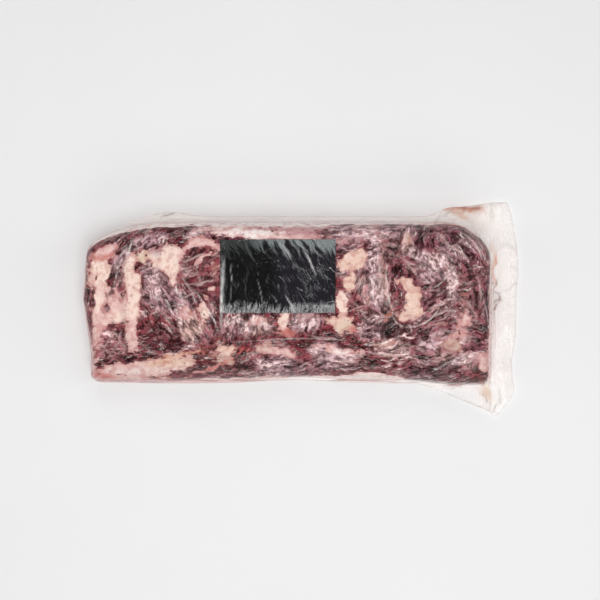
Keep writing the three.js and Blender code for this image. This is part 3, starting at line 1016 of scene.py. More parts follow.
def paintMeat(place, u, v):
    # Lays the patches one over another: the share of each is 0.5 + (1 - r) / softness, where r is its
    # reach, with the place warped by noise so that no edge is smooth. The seams are laid over them, and
    # the veils are laid the same way.
    warpedU = u + patchWarp["wideU"] * noise(place, patchWarp["wideSize"], seed=15)
    warpedU = warpedU + patchWarp["fine"] * noise(place, patchWarp["fineSize"], seed=17)
    warpedV = v + patchWarp["wideV"] * noise(place, patchWarp["wideSize"], seed=16)
    warpedV = warpedV + patchWarp["fine"] * noise(place, patchWarp["fineSize"], seed=19)
    black = np.zeros(u.shape + (3,))
    lean = painted(black, leans["maroon"][0], np.ones(u.shape))
    fatColor = painted(black, fats["pinkFat"], np.ones(u.shape))
    shares = {"fat": np.zeros(u.shape), "silver": np.full(u.shape, 0.1), "strands": np.full(u.shape, 0.8)}
    for middleU, middleV, length, width, turnDegrees, name, strength in patches:
        reach = reachOf(warpedU - middleU, warpedV - middleV, length, width, turnDegrees)
        softness = np.clip(5.0 / min(length, width), 0.35, 1.4)
        weight = strength * shareWithin(reach, 1, softness)
        if name in fats:
            fatColor = painted(fatColor, fats[name], shareWithin(reach, 1.2, softness))
        else:
            color, silver, strands = leans[name]
            lean = painted(lean, color, weight)
            shares["silver"] = mix(shares["silver"], silver, weight)
            shares["strands"] = mix(shares["strands"], strands, weight)
        shares["fat"] = mix(shares["fat"], int(name in fats), weight)
    seam = lineMask(seams, mix(u, warpedU, 0.6), mix(v, warpedV, 0.6))
    seam = seam * (1 - shares["fat"]) * (0.8 + 0.5 * noise(place, size=12, seed=27))
    shares["seam"] = np.clip(seam, 0, 1)
    shares["veil"] = np.zeros(u.shape)
    for middleU, middleV, length, width, turnDegrees, strength in veils:
        reach = reachOf(warpedU - middleU, warpedV - middleV, length, width, turnDegrees)
        shares["veil"] = np.maximum(shares["veil"], strength * easeStep(reach, 1.3, 0.5))
    return lean, fatColor, shares


# How far inside the foot lines the fat cap's edge lies, in millimetres, and how it wanders and fades there.
fatCap = {
    "farLeft": 8.0, "far": 4.0, "farRight": 3.5, "right": 6.0, "left": 4.5, "blur": 1.5,
    "leftTo": (20, 75), "rightFrom": (130, 200),
    "wander": 2.2, "wanderSize": 26, "ripple": 1.2, "rippleSize": 6, "footWander": 1.4, "footSize": 9,
}


def capShare(place, u, v):
    # The fat cap wraps up the walls from below: 1 past its edge inside the far, right and left foot lines
    # and past the lean's near boundary, each moved to and fro by noise and eased over the blur.
    x, y, _ = place
    far = mix(fatCap["farLeft"], fatCap["far"], easeStep(x, *fatCap["leftTo"]))
    far = mix(far, fatCap["farRight"], easeStep(x, *fatCap["rightFrom"])) - (farFoot(x) - y)
    ends = np.maximum(fatCap["right"] - (loin["right"] - x), fatCap["left"] - (x - leftFoot(y)))
    wander = fatCap["wander"] * noise(place, fatCap["wanderSize"], 31)
    wander = wander + fatCap["ripple"] * noise(place, fatCap["rippleSize"], 32)
    near = footLine(u) - v + fatCap["footWander"] * noise(place, fatCap["footSize"], 33)
    past = np.maximum(np.maximum(far, ends) + wander, near)
    return easeStep(past, -fatCap["blur"], fatCap["blur"])


loinMesh = {
    "steps": {"leftWall": 22, "rightWall": 24, "nearWall": 26, "farWall": 22, "body": 262, "plateau": 104},
    "belowFilm": 0.7, "aboveFilm": 0.5, "rim": 0.1,
    "lumps": 0.45, "lumpSize": 9, "strandDepth": 0.7, "smoothFat": 0.75,
}


def loinPiece():
    # Upper side: the meat's top less its gap to the film, then down by lumps and strands, less on fat.
    # Underside: the hem's level times the curl. Both carry their tissues as attributes.
    x, y = packPlan(loinMesh["steps"], False)
    level = hemLevel(x, y)
    top = upperOf(x, y, loinMesh["rim"], -loinMesh["belowFilm"])
    place = (x, y, top)
    u, v = chartOf(*place)
    lay = layOf(u, v)
    lean, fatColor, shares = paintMeat(place, u, v)
    fine = loinMesh["lumps"] * (noise(place, loinMesh["lumpSize"], 21) - 1)
    fine = fine - loinMesh["strandDepth"] * layeredRidges(x, y, lay, size=9, stretch=0.35, width=0.3, seed=25)
    fine = mix(fine, -0.4, loinMesh["smoothFat"] * shares["fat"])
    rim = capShare(place, u, v)
    top = np.maximum(top + fine * np.clip(standing(x, y) * 3, 0, 1), level + loinMesh["rim"])
    rimLevel = level - loinMesh["rim"]
    bottom = np.minimum(rimLevel * underCurl(x, y) + loinMesh["aboveFilm"], rimLevel)
    shares["fat"] = np.maximum(shares["fat"], rim)
    # The cap's edge is white, least at the right and not at all round the left tip.
    white = easeStep(x, -255, -245) * (1 - 0.7 * easeStep(x, 90, 190)) * 0.9
    fatColor = painted(fatColor, fats["whiteFat"], rim * white)
    # The underside is fat, cream to pink, with a few streaks of lean.
    below = (x, y, bottom)
    cream = painted(0 * lean, fats["cream"], np.ones(x.shape))
    under = painted(cream, fats["pinkFat"], np.clip(0.5 + 0.9 * noise(below, size=55, seed=41), 0, 1))
    underFat = np.clip(1.0 - 1.6 * np.clip(noise(below, size=38, seed=43) - 0.25, 0, 1), 0, 1)
    underLean = painted(0 * lean, leans["deepRed"][0], np.ones(x.shape))

    def both(upper, lower):
        # The upper grid's values followed by the lower grid's, which may be one number for all.
        return np.concatenate([upper.ravel(), (lower + 0 * upper).ravel()])

    attributes = {
        "lean": withAlpha(both(lean, underLean)),
        "fatColor": withAlpha(both(fatColor, under)),
        "fat": both(shares["fat"], underFat),
        "silver": both(shares["silver"], 0.2),
        "strands": both(shares["strands"], 0.3),
        "veil": both(shares["veil"], 0.1),
        "seam": both(shares["seam"], 0),
        "lay": both(lay, 0),
        "rolled": both(unrolled(x, y, top), np.stack([x, y, 0 * x], -1)),
    }
    points, faces = closedShell(x, y, top, bottom)
    return makeMesh("strip_loin", points, faces, attributes, meatMaterial())


# Strands and clouds in millimetres, colours as display values, and factors for red, green and blue where a
# colour turns darker, lighter or pinker.
meatLook = {
    "roughness": 0.6, "specular": 0.05, "bump": 0.4, "bumpDepth": 0.0006,
    "coarse": {"size": 15.0, "stretch": 0.62, "width": 0.022},
    "fine": {"size": 5.0, "stretch": 0.5, "width": 0.03},
    "clouds": {"size": 9.0, "contrast": 3.0},
    "grit": {"size": 2.6, "contrast": 2.6},
    "darkChunk": (0.17, 0.09, 0.09), "lightChunk": (1.5, 1.6, 1.6),
    "dim": (0.34, 0.27, 0.28), "lit": (1.42, 1.46, 1.46),
    "veil": (206, 166, 165), "seam": (230, 194, 190),
    "dullStrand": (204, 162, 166), "whiteStrand": (255, 236, 230), "silverskin": (190, 160, 166),
    "cloudyFat": (0.84, 0.7, 0.7), "thinFat": (0.8, 0.62, 0.63), "vein": (170, 104, 100),
    # crease is the colour of the painted crease shadows.
    "crease": (58, 22, 26),
}


def meatMaterial():
    # Lean: chunks of one tone each, darker to lighter, whitened where the streaks run high. Fat: clouds of
    # pinker fat with thin veins. Where 1.5 * fat - 0.25 + ragged + gritty is high, the fat shows.
    look = meatLook
    material, tree, shader = startMaterial("raw_meat_and_fat", look["roughness"], look["specular"])
    place = attribute(tree, "rolled", "Vector")
    shade = useGroup(mottleGroup, place=place, **look["clouds"])["Mask"]
    grit = useGroup(mottleGroup, place=place, **look["grit"])["Mask"]
    coarse, coarseLines, chunks = layeredStrands(place, **look["coarse"])
    fine, threads, flecks = layeredStrands(place, **look["fine"])
    streaky = coarse * 0.68 + fine * 0.32 + (grit - 0.5) * 0.06
    tones = chunks * 0.5 + flecks * 0.5
    # Lean: dark chunks of one tone each, veiled in places.
    leanColor = attribute(tree, "lean", "Color")
    darker = scaled(leanColor, look["darkChunk"])
    lighter = scaled(leanColor, look["lightChunk"])
    lean = mixed(eased(tones, 0.1, 0.78), darker, lighter)
    silver = attribute(tree, "silver")
    veil = attribute(tree, "veil")
    lean = mixed(veil * eased(coarse, 0.42, 0.6, 0.05, 0.6), lean, look["veil"])
    # Pale strands and silverskin where the streaks run high.
    pale = mixed(flecks, look["dullStrand"], look["whiteStrand"])
    pale = mixed(silver * 0.35, pale, look["silverskin"])
    start = silver * -0.07 + 0.567 + veil * -0.05
    filaments = strongest(coarseLines, threads * 0.8) * eased(shade, 0.3, 0.7)
    whiten = strongest(eased(streaky, start, start + 0.024) * 0.85, filaments * 0.4)
    whiten = whiten * attribute(tree, "strands")
    lean = mixed(whiten * 0.9, lean, pale)
    # Painted light and shade: lit and dim copies of the lean along the fine strands.
    lean = mixed(eased(fine, 0.44, 0.6), scaled(lean, look["lit"]), scaled(lean, look["dim"]))
    seam = attribute(tree, "seam") * eased(fine, 0.36, 0.5, 0.25, 1.0)
    lean = mixed(seam * 0.85, lean, look["seam"])
    # Fat: greyer and pinker in clouds, with thin pink veins.
    fatColor = attribute(tree, "fatColor", "Color")
    clouds = shade * 0.8 + grit * 0.2
    fat = mixed(eased(clouds, 0.15, 0.62), scaled(fatColor, look["cloudyFat"]), fatColor)
    fat = mixed(eased(streaky, 0.4, 0.36) * 0.4, fat, look["vein"])
    # The edge between them is ragged: streaks and grit move it to and fro, and the fat is thin along it.
    ragged = (coarse * 0.4 + fine * 0.6 - 0.5) * 5.0
    gritty = (tones - 0.5) * 0.3
    stretched = attribute(tree, "fat") * 1.5 - 0.25
    edge = stretched + ragged + gritty
    depth = (coarse - 0.5) * 2.6 + stretched
    fat = mixed(eased(depth, 0.55, 1.1), scaled(fat, look["thinFat"]), fat)
    color = mixed(eased(edge, 0.3, 0.66), lean, fat)
    # Painted shade: short dark crease shadows cross both.
    creaseShadows = threads * eased(shade, 0.5, 0.3) * eased(edge, 0.5, 0.8, 1.0, 0.12)
    color = mixed(creaseShadows * 0.6, color, look["crease"])
    feed(shader.inputs["Base Color"], color)
    height = grit * 0.25 + whiten
    feed(shader.inputs["Normal"], bumpOf(height, look["bump"], look["bumpDepth"]))
    return material


def bumpOf(height, strength, distance):
    # The normal bent by the slope of a height mask that is distance metres deep.
    inputs = {"Strength": strength, "Distance": distance, "Height": height}
    return outputOf(height.tree, "ShaderNodeBump", inputs)


filmLook = {
    "hazeRoughness": 0.25, "specular": 0.5, "bump": 0.5, "bumpDepth": 0.0013,
    "wide": {"size": 11.0, "stretch": 0.2, "width": 0.03},
    "narrow": {"size": 5.0, "stretch": 0.2, "width": 0.045},
    "crumple": {"size": 7.0, "contrast": 2.0},
    "glossRoughness": 0.12, "index": 1.4, "glossShare": 0.55, "mostGloss": 0.14,
}


def filmMaterial():
    # Clear film with a weak gloss, mixed towards a milky finish by haze * (1 + uneven * wrinkleGlint) +
    # hazeAndGlintLines * wrinkleGlint, where hazeAndGlintLines is the thin white lines of creases and
    # wrinkles, partly the film's haze in them and partly painted highlights.
    look = filmLook
    material, tree, milky = startMaterial("clear_vacuum_film", look["hazeRoughness"], look["specular"])
    place = attribute(tree, "rolled", "Vector")
    wide, creases, _ = layeredStrands(place, **look["wide"])
    narrow, wrinkles, _ = layeredStrands(place, **look["narrow"])
    crumple = useGroup(mottleGroup, place=place, **look["crumple"])["Mask"]
    broken = creases * eased(narrow, 0.58, 0.62)
    short = wrinkles * eased(wide, 0.58, 0.61)
    hazeAndGlintLines = strongest(broken, short * 0.5)
    bump = bumpOf(crumple * 0.4 + (wide + narrow), look["bump"], look["bumpDepth"])
    white = (1.0, 1.0, 1.0, 1.0)
    glossInputs = {"Color": white, "Roughness": look["glossRoughness"], "Normal": bump}
    gloss = outputOf(tree, "ShaderNodeBsdfGlossy", glossInputs)
    clear = outputOf(tree, "ShaderNodeBsdfTransparent", {"Color": white})
    fresnel = outputOf(tree, "ShaderNodeFresnel", {"IOR": look["index"]}) * look["glossShare"]
    glossShare = mathNode(tree, "MINIMUM", fresnel, look["mostGloss"])
    tight = outputOf(tree, "ShaderNodeMixShader", {0: glossShare, 1: clear, 2: gloss})
    feed(milky.inputs["Base Color"], attribute(tree, "tint", "Color"))
    feed(milky.inputs["Normal"], bump)
    # Painted highlights: the white lines of creases and wrinkles, with their haze, as strong as wrinkleGlint.
    wrinkleGlint = attribute(tree, "wrinkleGlint")
    uneven = (eased(narrow, 0.4, 0.6, 0.2, 1.5) - 1.0) * wrinkleGlint + 1.0
    cloudy = mathNode(tree, "ADD", attribute(tree, "haze") * uneven, hazeAndGlintLines * wrinkleGlint, clamp=True)
    whole = {0: cloudy, 1: tight, 2: shaderValue(tree, milky.outputs[0])}
    feed(tree.nodes["Material Output"].inputs["Surface"], outputOf(tree, "ShaderNodeMixShader", whole))
    return material


# Juice and haze in the film, and grey strokes of painted shade beside its crumples, in chart units: middle u,
# v, half length, half width, turn, colour, strength.
stainsAndCreaseShade = [
    (162, 100, 22, 2.4, -3, (196, 116, 70), 1.0),
    (174, 100.5, 5, 2.2, 0, (150, 62, 22), 1.0),
    (158, 101.5, 13, 1.2, -2, (150, 74, 36), 1.0),
    (152, 97, 4, 1.2, -10, (190, 116, 74), 0.8),
    (158, 95.5, 9, 1.2, -14, (204, 140, 96), 0.8),
    (162, 92, 6, 1.6, -20, (216, 158, 116), 0.7),
    (193, 45, 2.0, 18, 2, (214, 150, 110), 0.7),
    (194.5, 12, 1.3, 18, -3, (130, 84, 66), 0.7),
    (186, -84, 5, 8, 30, (222, 184, 150), 0.5),
    (165, 92, 22, 8, -20, (226, 212, 204), 0.4),
    # Grey strokes of painted shade beside the creases of crumpled film.
    (-160, 92, 8, 1.0, 24, (176, 170, 166), 0.8),
    (-148, 96, 7, 0.8, -14, (184, 178, 174), 0.7),
    (-132, 94, 9, 0.9, 12, (180, 174, 170), 0.8),
    (-120, 97, 6, 0.8, -24, (176, 170, 166), 0.7),
    (146, 95, 7, 0.8, 30, (178, 170, 164), 0.8),
    (136, 90, 6, 0.8, 60, (190, 182, 176), 0.6),
    (190, 95, 1.0, 7, 20, (190, 180, 172), 0.6),
    (186, -92, 0.9, 7, 24, (188, 178, 172), 0.8),
    (193, -98, 0.9, 6, -20, (192, 184, 178), 0.7),
    (199, -88, 0.8, 8, 8, (194, 186, 180), 0.7),
    (178, -98, 6, 0.8, -34, (204, 196, 190), 0.6),
]

# Sharp folds in the film, raised in its relief and whitened by painted highlights: from u, v to u, v, how far
# the middle bows, half width and strength.
folds = [
    (-77, 50, -79, -24, -1.5, 2.0, 1.0),
    (-70, 46, -70, 8, 0.5, 0.7, 0.5),
    (-44, 30, -39, 2, 1.0, 0.7, 0.4),
    (-22, 67, -10, 48, 1.5, 0.9, 0.8),
    (3, 57, 15, 33, 1.5, 1.1, 1.0),
    (-4, 66, 8, 54, 1.0, 0.7, 0.5),
    (-16, 15, -5, -5, 1.0, 0.9, 0.8),
    (-30, 14, -22, 2, 1.0, 0.6, 0.4),
    (-126, 22, -117, 6, -0.5, 1.2, 0.9),
    (-119, 32, -104, 4, 1.0, 1.0, 0.9),
    (-135, 10, -127, -8, 0.5, 1.0, 0.8),
    (-108, 20, -88, -12, 1.0, 0.9, 0.7),
    (-96, 2, -82, -24, 1.0, 1.0, 0.7),
    (-190, 62, -170, 76, 1.5, 1.0, 0.7),
    (-184, 44, -172, 64, 1.5, 0.9, 0.7),
    (-187, 20, -180, 48, 1.0, 0.9, 0.6),
    (-171, 40, -166, 74, 3.0, 1.0, 0.7),
    (86, 40, 92, 0, -3.0, 0.9, 0.8),
    (92, 0, 104, -18, -4.0, 0.9, 0.9),
    (104, -18, 140, 4, -7.0, 1.0, 0.9),
    (80, 50, 84, 4, -2.0, 0.8, 0.6),
    (158, 78, 182, 50, 4.0, 0.9, 0.9),
    (168, 76, 186, 44, 3.0, 0.8, 0.7),
    (130, 20, 146, 34, -2.0, 0.8, 0.6),
    (134, -6, 156, 10, -3.0, 0.8, 0.6),
    (186, -42, 130, -64, -4.0, 0.9, 0.8),
    (176, 30, 188, -30, 3.0, 0.8, 0.6),
    (-180, -38, -100, -46, -2.0, 0.8, 0.5),
    (188, 66, 190, 8, 0.5, 1.1, 1.0),
    (190, 8, 189, -66, -0.5, 1.1, 0.95),
    (192, 34, 191.5, -62, 0.5, 0.7, 0.8),
    (150, 86, 187, 66, 6.0, 0.9, 0.8),
    (122, 96, 131, 99, 0.5, 0.9, 1.0),
    (131, 93, 142, 98, -1.0, 0.9, 1.0),
    (136, 88, 148, 96, 1.0, 0.8, 0.8),
    (144, 95, 152, 88, 1.0, 0.9, 0.9),
    (-170, 89, -162, 93, 0.5, 1.0, 1.0),
    (-158, 96, -148, 98, -0.5, 1.0, 1.0),
    (-146, 91, -134, 96, 1.0, 0.8, 0.7),
    (-128, 94, -120, 97, 0.5, 1.0, 1.0),
    (-122, 89, -112, 93, -0.5, 1.0, 0.9),
    (-160, 88, -150, 92, 0.5, 0.7, 0.7),
    (-70, -34, 50, -32, 3.0, 0.8, 0.5),
]

# Display colours of the film's haze, in the order in which they are laid over the plain film's. The crease
# highlight and the fold are painted highlights; the crease shade and the far hem's shade are painted shade.
filmTints = {
    "plain": (250, 234, 230), "label": (228, 228, 230), "border": (234, 227, 223),
    "apron": (226, 214, 208), "apronFold": (176, 140, 130),
    "creaseHighlight": (250, 248, 246), "creaseShade": (206, 198, 193),
    "besideMeat": (246, 240, 238), "farHemShade": (238, 231, 228), "rosy": (214, 180, 178),
    "juicy": (168, 112, 108), "rim": (206, 196, 192), "fold": (236, 228, 226),
}
# Where the film crosses the label, in chart units.
labelWindow = {"u": -23, "halfLength": 57.5, "v": 31, "halfWidth": 38, "blurU": 2.5, "blurV": 2}


def tailCreases(x, y, width):
    # Ridges drawn out across the tail, which are both relief and lines of painted highlight.
    return ridges((x * 0.8, y * 0.3, 0 * x), size=15, seed=55, width=width)


def filmAttributes(x, y, z, outside):
    # Haze where the film hangs loose, tints where juice has run, and how white the creases are, partly haze
    # and partly painted highlights, with painted highlights and shade along crumples and folds and painted
    # shade on the far hem.
    place = (x, y, z)
    u, v = chartOf(x, y, z)
    lay = layOf(u, v)
    # Beside the meat the two films lie in fine folds along the edge, some with juice; further out they
    # are clearer and crumpled, with creases of painted highlight and painted shade.
    tailward = easeStep(x, 226, 238)
    endward = np.maximum(tailward, easeStep(x, loin["left"] + 16, loin["left"] + 6))
    alongEdge = mix(drawnNoise(x * 0.07, y, 2.2, 52), drawnNoise(x, y * 0.07, 2.2, 53), endward)
    fromMeat = np.maximum(np.maximum(nearFoot(x) - y, y - farFoot(x)), x - loin["right"])
    besideMeat = outside * easeStep(fromMeat, 11, 7)
    loose = outside - besideMeat
    # Painted highlights and painted shade along the crumples' creases.
    glintCreases = tailCreases(x, y, 0.1)
    shadedCreases = ridges((x * 0.7, y * 0.4, 0 * x), size=22, seed=57, width=0.06)
    crumpled = 0.16 * noise(place, size=18, seed=59) + 0.25 * glintCreases + 0.3 * shadedCreases - 0.08
    haze = 0.42 * outside + 0.36 * besideMeat * (0.8 + alongEdge) + loose * crumpled
    # The apron is the strip between the lean's near boundary and the foot line.
    apron = (1 - outside) * easeStep(footLine(u) - v, -0.5, 2.5) * easeStep(u, -120, -20)
    haze = np.maximum(haze, apron * (0.62 + 0.35 * alongEdge))
    clearEar = outside * easeStep(y, loin["near"] - 6, loin["near"] - 14) * easeStep(x, 228, 214)
    haze = haze * (1 - 0.85 * clearEar)
    insideU = labelWindow["halfLength"] - np.abs(u - labelWindow["u"])
    insideV = labelWindow["halfWidth"] - np.abs(v - labelWindow["v"])
    onLabel = easeStep(insideU, -labelWindow["blurU"], labelWindow["blurU"])
    onLabel = onLabel * easeStep(insideV, -labelWindow["blurV"], labelWindow["blurV"])
    # Painted highlights: how strongly the wrinkles' lines are whitened, less on the label and outside the
    # meat.
    wrinkleGlint = (0.5 + 0.5 * noise(place, size=30, seed=67)) * (1 - 0.92 * outside)
    wrinkleGlint = wrinkleGlint * (1 - onLabel * (0.35 + 0.45 * easeStep(u, 0, -40)))
    # The sealed border: a thin darker line along the rim and a faint one inside it.
    fromEnd = tailEdge(y) - x
    border = np.minimum(fromEnd, np.minimum(farEdge(x) - y, y - nearEdge(x)))
    rim = outside * (0.75 * hump(border, 1.0) + 0.3 * hump(fromEnd - 9, 1.0) * tailward)
    rim = np.clip(rim, 0, 1)
    haze = np.maximum(haze, 0.8 * rim)
    nearness = easeStep(y, 20, -40)
    folded = besideMeat * easeStep(-alongEdge, 0.1, 0.35) * easeStep(fromMeat, 7, 4)
    layers = {
        "label": onLabel,
        "border": outside,
        "apron": apron,
        "apronFold": 0.6 * apron * easeStep(-alongEdge, 0.1, 0.5),
        "creaseHighlight": loose * glintCreases,
        "creaseShade": 0.8 * loose * shadedCreases,
        "besideMeat": besideMeat,
        # Painted shade: the hem along the far side is greyer.
        "farHemShade": 0.8 * besideMeat * easeStep(y, 60, 90),
        "rosy": 0.8 * besideMeat * nearness * easeStep(u, 10, -60) * (1 - tailward),
        "juicy": folded * (0.15 + 0.55 * nearness),
        "rim": rim,
    }
    tint = painted(np.zeros(x.shape + (3,)), filmTints["plain"], np.ones(x.shape))
    for name, share in layers.items():
        tint = painted(tint, filmTints[name], share)
    for middleU, middleV, length, width, turnDegrees, color, strength in stainsAndCreaseShade:
        warp = 1.0 + 0.45 * width
        warpedU = u - middleU + warp * noise(place, size=8, seed=63)
        warpedV = v - middleV + warp * noise(place, size=8, seed=65)
        weight = strength * shareWithin(reachOf(warpedU, warpedV, length, width, turnDegrees), 1, 0.8)
        tint = painted(tint, color, np.clip(weight * 1.2, 0, 1))
        haze = mix(haze, 0.85, weight)
    # Painted highlights: the folds are whitened along their lines.
    warp = 1.2 * noise(place, size=16, seed=61)
    foldGlints = lineMask(folds, u + warp, v + warp) * (0.75 + 0.5 * noise(place, size=5, seed=62))
    tint = painted(tint, filmTints["fold"], np.clip(foldGlints, 0, 1))
    haze = np.maximum(haze, 0.85 * foldGlints)
    return {
        "haze": np.clip(haze, 0, 1),
        "wrinkleGlint": np.clip(wrinkleGlint, 0, 1),
        "tint": withAlpha(tint),
        "lay": lay,
        "rolled": unrolled(x, y, z),
    }


filmMesh = {
    "film_over": {
        "leftHem": 3, "leftWall": 24, "rightWall": 26, "nearWall": 32, "farWall": 28,
        "body": 300, "plateau": 130, "hem": 9, "tail": 34,
    },
    "film_under": {
        "leftHem": 2, "leftWall": 12, "rightWall": 12, "nearWall": 12, "farWall": 12,
        "body": 150, "plateau": 50, "hem": 6, "tail": 24,
    },
}
filmRelief = {
    "swell": 0.35, "lines": 0.45, "fold": 0.7, "lift": 0.9, "pucker": 1.2, "pleat": 0.8, "crease": 0.9,
    "underGap": 0.4, "underPucker": 0.4, "offFloor": 0.12,
}


def upperFilm(x, y, outside):
    # The loin's upper surface + swells, ridges and folds on it, and puckers, pleats and creases outside.
    z = upperOf(x, y, 0.5, 0.1)
    u, v = chartOf(x, y, z)
    lay = layOf(u, v)
    lines = layeredRidges(x, y, lay, size=8, stretch=0.16, width=0.2, seed=75)
    lines = lines + 0.6 * layeredRidges(x, y, lay, size=4.5, stretch=0.12, width=0.25, seed=79)
    fine = filmRelief["swell"] * (noise((x, y, z), size=14, seed=71) + 1)
    fine = fine + filmRelief["lines"] * lines + filmRelief["fold"] * lineMask(folds, u, v)
    tailward = easeStep(x, 225, 245)
    loose = filmRelief["lift"] + filmRelief["pucker"] * drawnNoise(x * 0.4, y, 24, 81) * tailward
    loose = loose + filmRelief["pleat"] * drawnNoise(x * 0.07, y, 4, 83) * (1 - tailward)
    loose = loose + filmRelief["crease"] * tailCreases(x, y, 0.3) * tailward
    return z + fine * np.clip(standing(x, y) * 2, 0, 1) + outside * loose


def underFilm(x, y, outside):
    # The hem's level less a small gap, curled down to the floor under the loin and puckered outside.
    level = hemLevel(x, y) - filmRelief["underGap"]
    curled = level * underCurl(x, y) + filmRelief["offFloor"]
    z = np.where(standing(x, y) > 0, curled, level)
    z = z + filmRelief["underPucker"] * drawnNoise(x * 0.4, y, 16, 85) * outside
    return np.maximum(z, filmRelief["offFloor"])


def filmPieces():
    # The upper and the lower film over the whole plan, the lower one's faces turned down.
    material = filmMaterial()
    pieces = []
    for name, surface in (("film_over", upperFilm), ("film_under", underFilm)):
        x, y = packPlan(filmMesh[name], True)
        outside = easeStep(standing(x, y), 0.35, 0.0)
        z = surface(x, y, outside)
        points = np.stack([x, y, z], -1).reshape(-1, 3)
        faces = gridFaces(*x.shape, 0, surface is underFilm)
        piece = makeMesh(name, points, faces, filmAttributes(x, y, z, outside), material)
        piece.visible_shadow = False
        pieces.append(piece)
    return pieces


label = {
    "left": -96.5, "right": 41, "near": -4.5, "far": 83, "gauge": 0.25, "underFilm": 0.15,
    "steps": (140, 92), "waver": (0.7, 0.8), "waverLength": (14, 17),
}


def labelPiece():
    # A thin sheet on the loin's upper surface: x and y each + a noise along the other side.
    along = np.linspace(label["left"], label["right"], label["steps"][0])
    across = np.linspace(label["near"], label["far"], label["steps"][1])
    flatX, flatY = np.meshgrid(along, across, indexing="ij")
    none = 0 * flatX
    x = flatX + label["waver"][0] * noise((flatY, none, none), label["waverLength"][0], 91)
    y = flatY + label["waver"][1] * noise((flatX, none, none), label["waverLength"][1], 93)
    z = upperOf(x, y, 0.5, 0) - label["underFilm"]
    points, faces = closedShell(x, y, z, z - label["gauge"])
    place = np.stack([flatX - label["left"], flatY - label["near"], none], -1).reshape(-1, 3)
    return makeMesh("label_sheet", points, faces, {"sheet": np.concatenate([place, place])}, labelMaterial())


# Places and reaches in millimetres from the label's left and near sides.
labelLook = {
    "roughness": 0.6, "specular": 0.1,
    "fibres": {"heading": math.radians(84), "size": 3.2, "stretch": 0.14, "width": 0.04},
    "slants": {"heading": math.radians(-62), "size": 6.0, "stretch": 0.1, "width": 0.02},
    "clouds": {"size": 13.0, "contrast": 2.6},
    "grain": {"size": 1.9, "contrast": 2.6},
    # wrinkleGlint and farGlare are the colours of painted glare.
    "black": (11, 11, 12), "purplish": (30, 27, 33), "wrinkleGlint": (118, 118, 122), "farGlare": (146, 152, 152),
    "darkFringe": (40, 41, 43), "paleFringe": (148, 149, 150), "fibre": (204, 202, 200),
    "farStreaks": 80.0, "fringeReach": 34.0, "nearFringe": 10.5, "middleDip": -5.0, "leftFringe": 6.0,
}


def labelMaterial():
    # Black on the left, purplish with slanting streaks of painted glare on the right; frayed along the near
    # and left sides, where upright fibres show, and greyed by painted glare along the far side in streaks.
    look = labelLook
    material, tree, shader = startMaterial("dark_label_paper", look["roughness"], look["specular"])
    place = attribute(tree, "sheet", "Vector")
    along, across, _ = split(place)
    fibres = useGroup(strandGroup, place=place, **look["fibres"])
    slants = useGroup(strandGroup, place=place, **look["slants"])
    cloud = useGroup(mottleGroup, place=place, **look["clouds"])["Mask"]
    grain = useGroup(mottleGroup, place=place, **look["grain"])["Mask"]
    color = mixed(eased(along, 55.0, 80.0), look["black"], look["purplish"])
    # Painted glare: slanting streaks, most on the right.
    glareStreaks = slants["Line"] * eased(cloud, 0.25, 0.6) * eased(along, 50.0, 85.0, 0.12, 0.5)
    color = mixed(glareStreaks, color, look["wrinkleGlint"])
    # Painted glare along the far side: grey streaks that thin out towards the middle.
    fromFar = label["far"] - label["near"] - across
    glareEdge = fromFar + (slants["Field"] - 0.5) * look["farStreaks"]
    farGlare = eased(glareEdge, 19.0, 3.0) * eased(along, 25.0, 70.0, 0.15, 0.85)
    color = mixed(farGlare * eased(grain, 0.1, 0.7, 0.6, 1.0), color, look["farGlare"])
    # Frayed near and left sides.
    reach = (fibres["Field"] - 0.5) * look["fringeReach"]
    fromNear = across + reach * eased(along, 95.0, 60.0, 0.4, 1.0)
    middle = eased(along, 56.0, 64.0) * eased(along, 88.0, 80.0)
    depth = middle * look["middleDip"] + look["nearFringe"]
    nearFringe = eased(fromNear - depth, 3.5, -3.5)
    leftFringe = eased(reach * 0.35 + along - look["leftFringe"], 2.0, -2.0)
    fringe = strongest(nearFringe, leftFringe * eased(across, 74.0, 50.0, 0.1, 0.45))
    whiteness = grain * 0.5 + fibres["Tone"] * 0.5
    fringeColor = mixed(eased(whiteness, 0.2, 0.8), look["darkFringe"], look["paleFringe"])
    color = mixed(fringe * 0.9, color, fringeColor)
    color = mixed(fibres["Line"] * fringe * 0.55, color, look["fibre"])
    feed(shader.inputs["Base Color"], color)
    return material


meat = loinPiece()
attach(meat, "root")
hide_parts("vacuum_bag")
print("strip_loin:", len(meat.data.polygons), "faces")

for piece in filmPieces():
    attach(piece, "root")
    print(f"{piece.name}:", len(piece.data.polygons), "faces")

sheet = labelPiece()
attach(sheet, "root")
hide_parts("label")
print("label_sheet:", len(sheet.data.polygons), "faces")

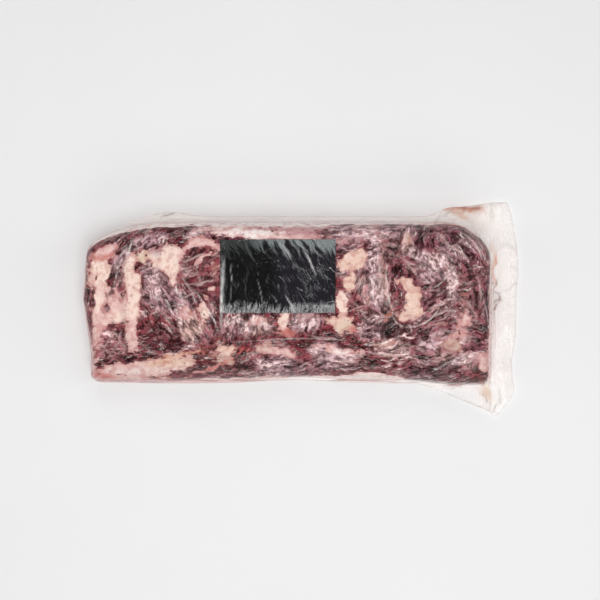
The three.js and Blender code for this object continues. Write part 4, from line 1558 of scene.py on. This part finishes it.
# Sizes and places in metres, power in watts. The one overhead is kept out of the film's reflections.
studio = {
    "floorSize": 6, "floorTones": ((236, 236, 237), (240, 240, 240)), "floorClouds": 0.3,
    "floorRoughness": 0.9, "floorSpecular": 0.1, "ambient": 0.16,
}
softboxes = {
    "overhead_softbox": {"place": (-0.08, -0.42, 2.3), "size": (1.7, 1.7), "power": 28.5, "glossy": False},
    "near_softbox": {"place": (0.3, -1.5, 1.25), "size": (1.4, 0.8), "power": 8},
    "right_softbox": {"place": (1.5, 0.1, 1.25), "size": (0.8, 1.4), "power": 7},
    "left_softbox": {"place": (-1.5, 0.1, 1.25), "size": (0.8, 1.4), "power": 5},
    "far_softbox": {"place": (-0.2, 1.5, 1.25), "size": (1.4, 0.8), "power": 7},
}


def floorPiece():
    # A pale plane with two close tones in faint clouds.
    bpy.ops.mesh.primitive_plane_add(size=studio["floorSize"])
    floor = bpy.context.object
    floor.name = "floor"
    material, tree, shader = startMaterial("pale_floor", studio["floorRoughness"], studio["floorSpecular"])
    place = outputOf(tree, "ShaderNodeTexCoord", {}, "Object")
    cloud = useGroup(mottleGroup, place=place, size=studio["floorClouds"], contrast=1.0)["Mask"]
    feed(shader.inputs["Base Color"], mixed(cloud, *studio["floorTones"]))
    floor.data.materials.append(material)


def softboxLight(name, place, size, power, glossy=True):
    # A rectangular light at place that faces the pack's middle.
    data = bpy.data.lights.new(name, "AREA")
    data.shape = "RECTANGLE"
    data.size, data.size_y = size
    data.energy = power
    light = bpy.data.objects.new(name, data)
    light.location = place
    light.rotation_euler = (-Vector(place)).to_track_quat("-Z", "Y").to_euler()
    light.visible_glossy = glossy
    bpy.context.collection.objects.link(light)


floorPiece()
for name, values in softboxes.items():
    softboxLight(name, **values)
world = bpy.data.worlds.new("studio")
bpy.context.scene.world = world
world.use_nodes = True
background = world.node_tree.nodes["Background"]
background.inputs["Color"].default_value = (1.0, 1.0, 1.0, 1.0)
background.inputs["Strength"].default_value = studio["ambient"]
bpy.context.scene.view_settings.view_transform = "Standard"

cameraData = bpy.data.cameras.new("camera")
cameraData.lens = camera["lens"]
cameraData.sensor_width = camera["sensor"]
cameraObject = bpy.data.objects.new("camera", cameraData)
cameraObject.location = [camera[key] * metresPerMm for key in ("x", "y", "height")]
bpy.context.collection.objects.link(cameraObject)
bpy.context.scene.camera = cameraObject
print("floor, light and camera are set")
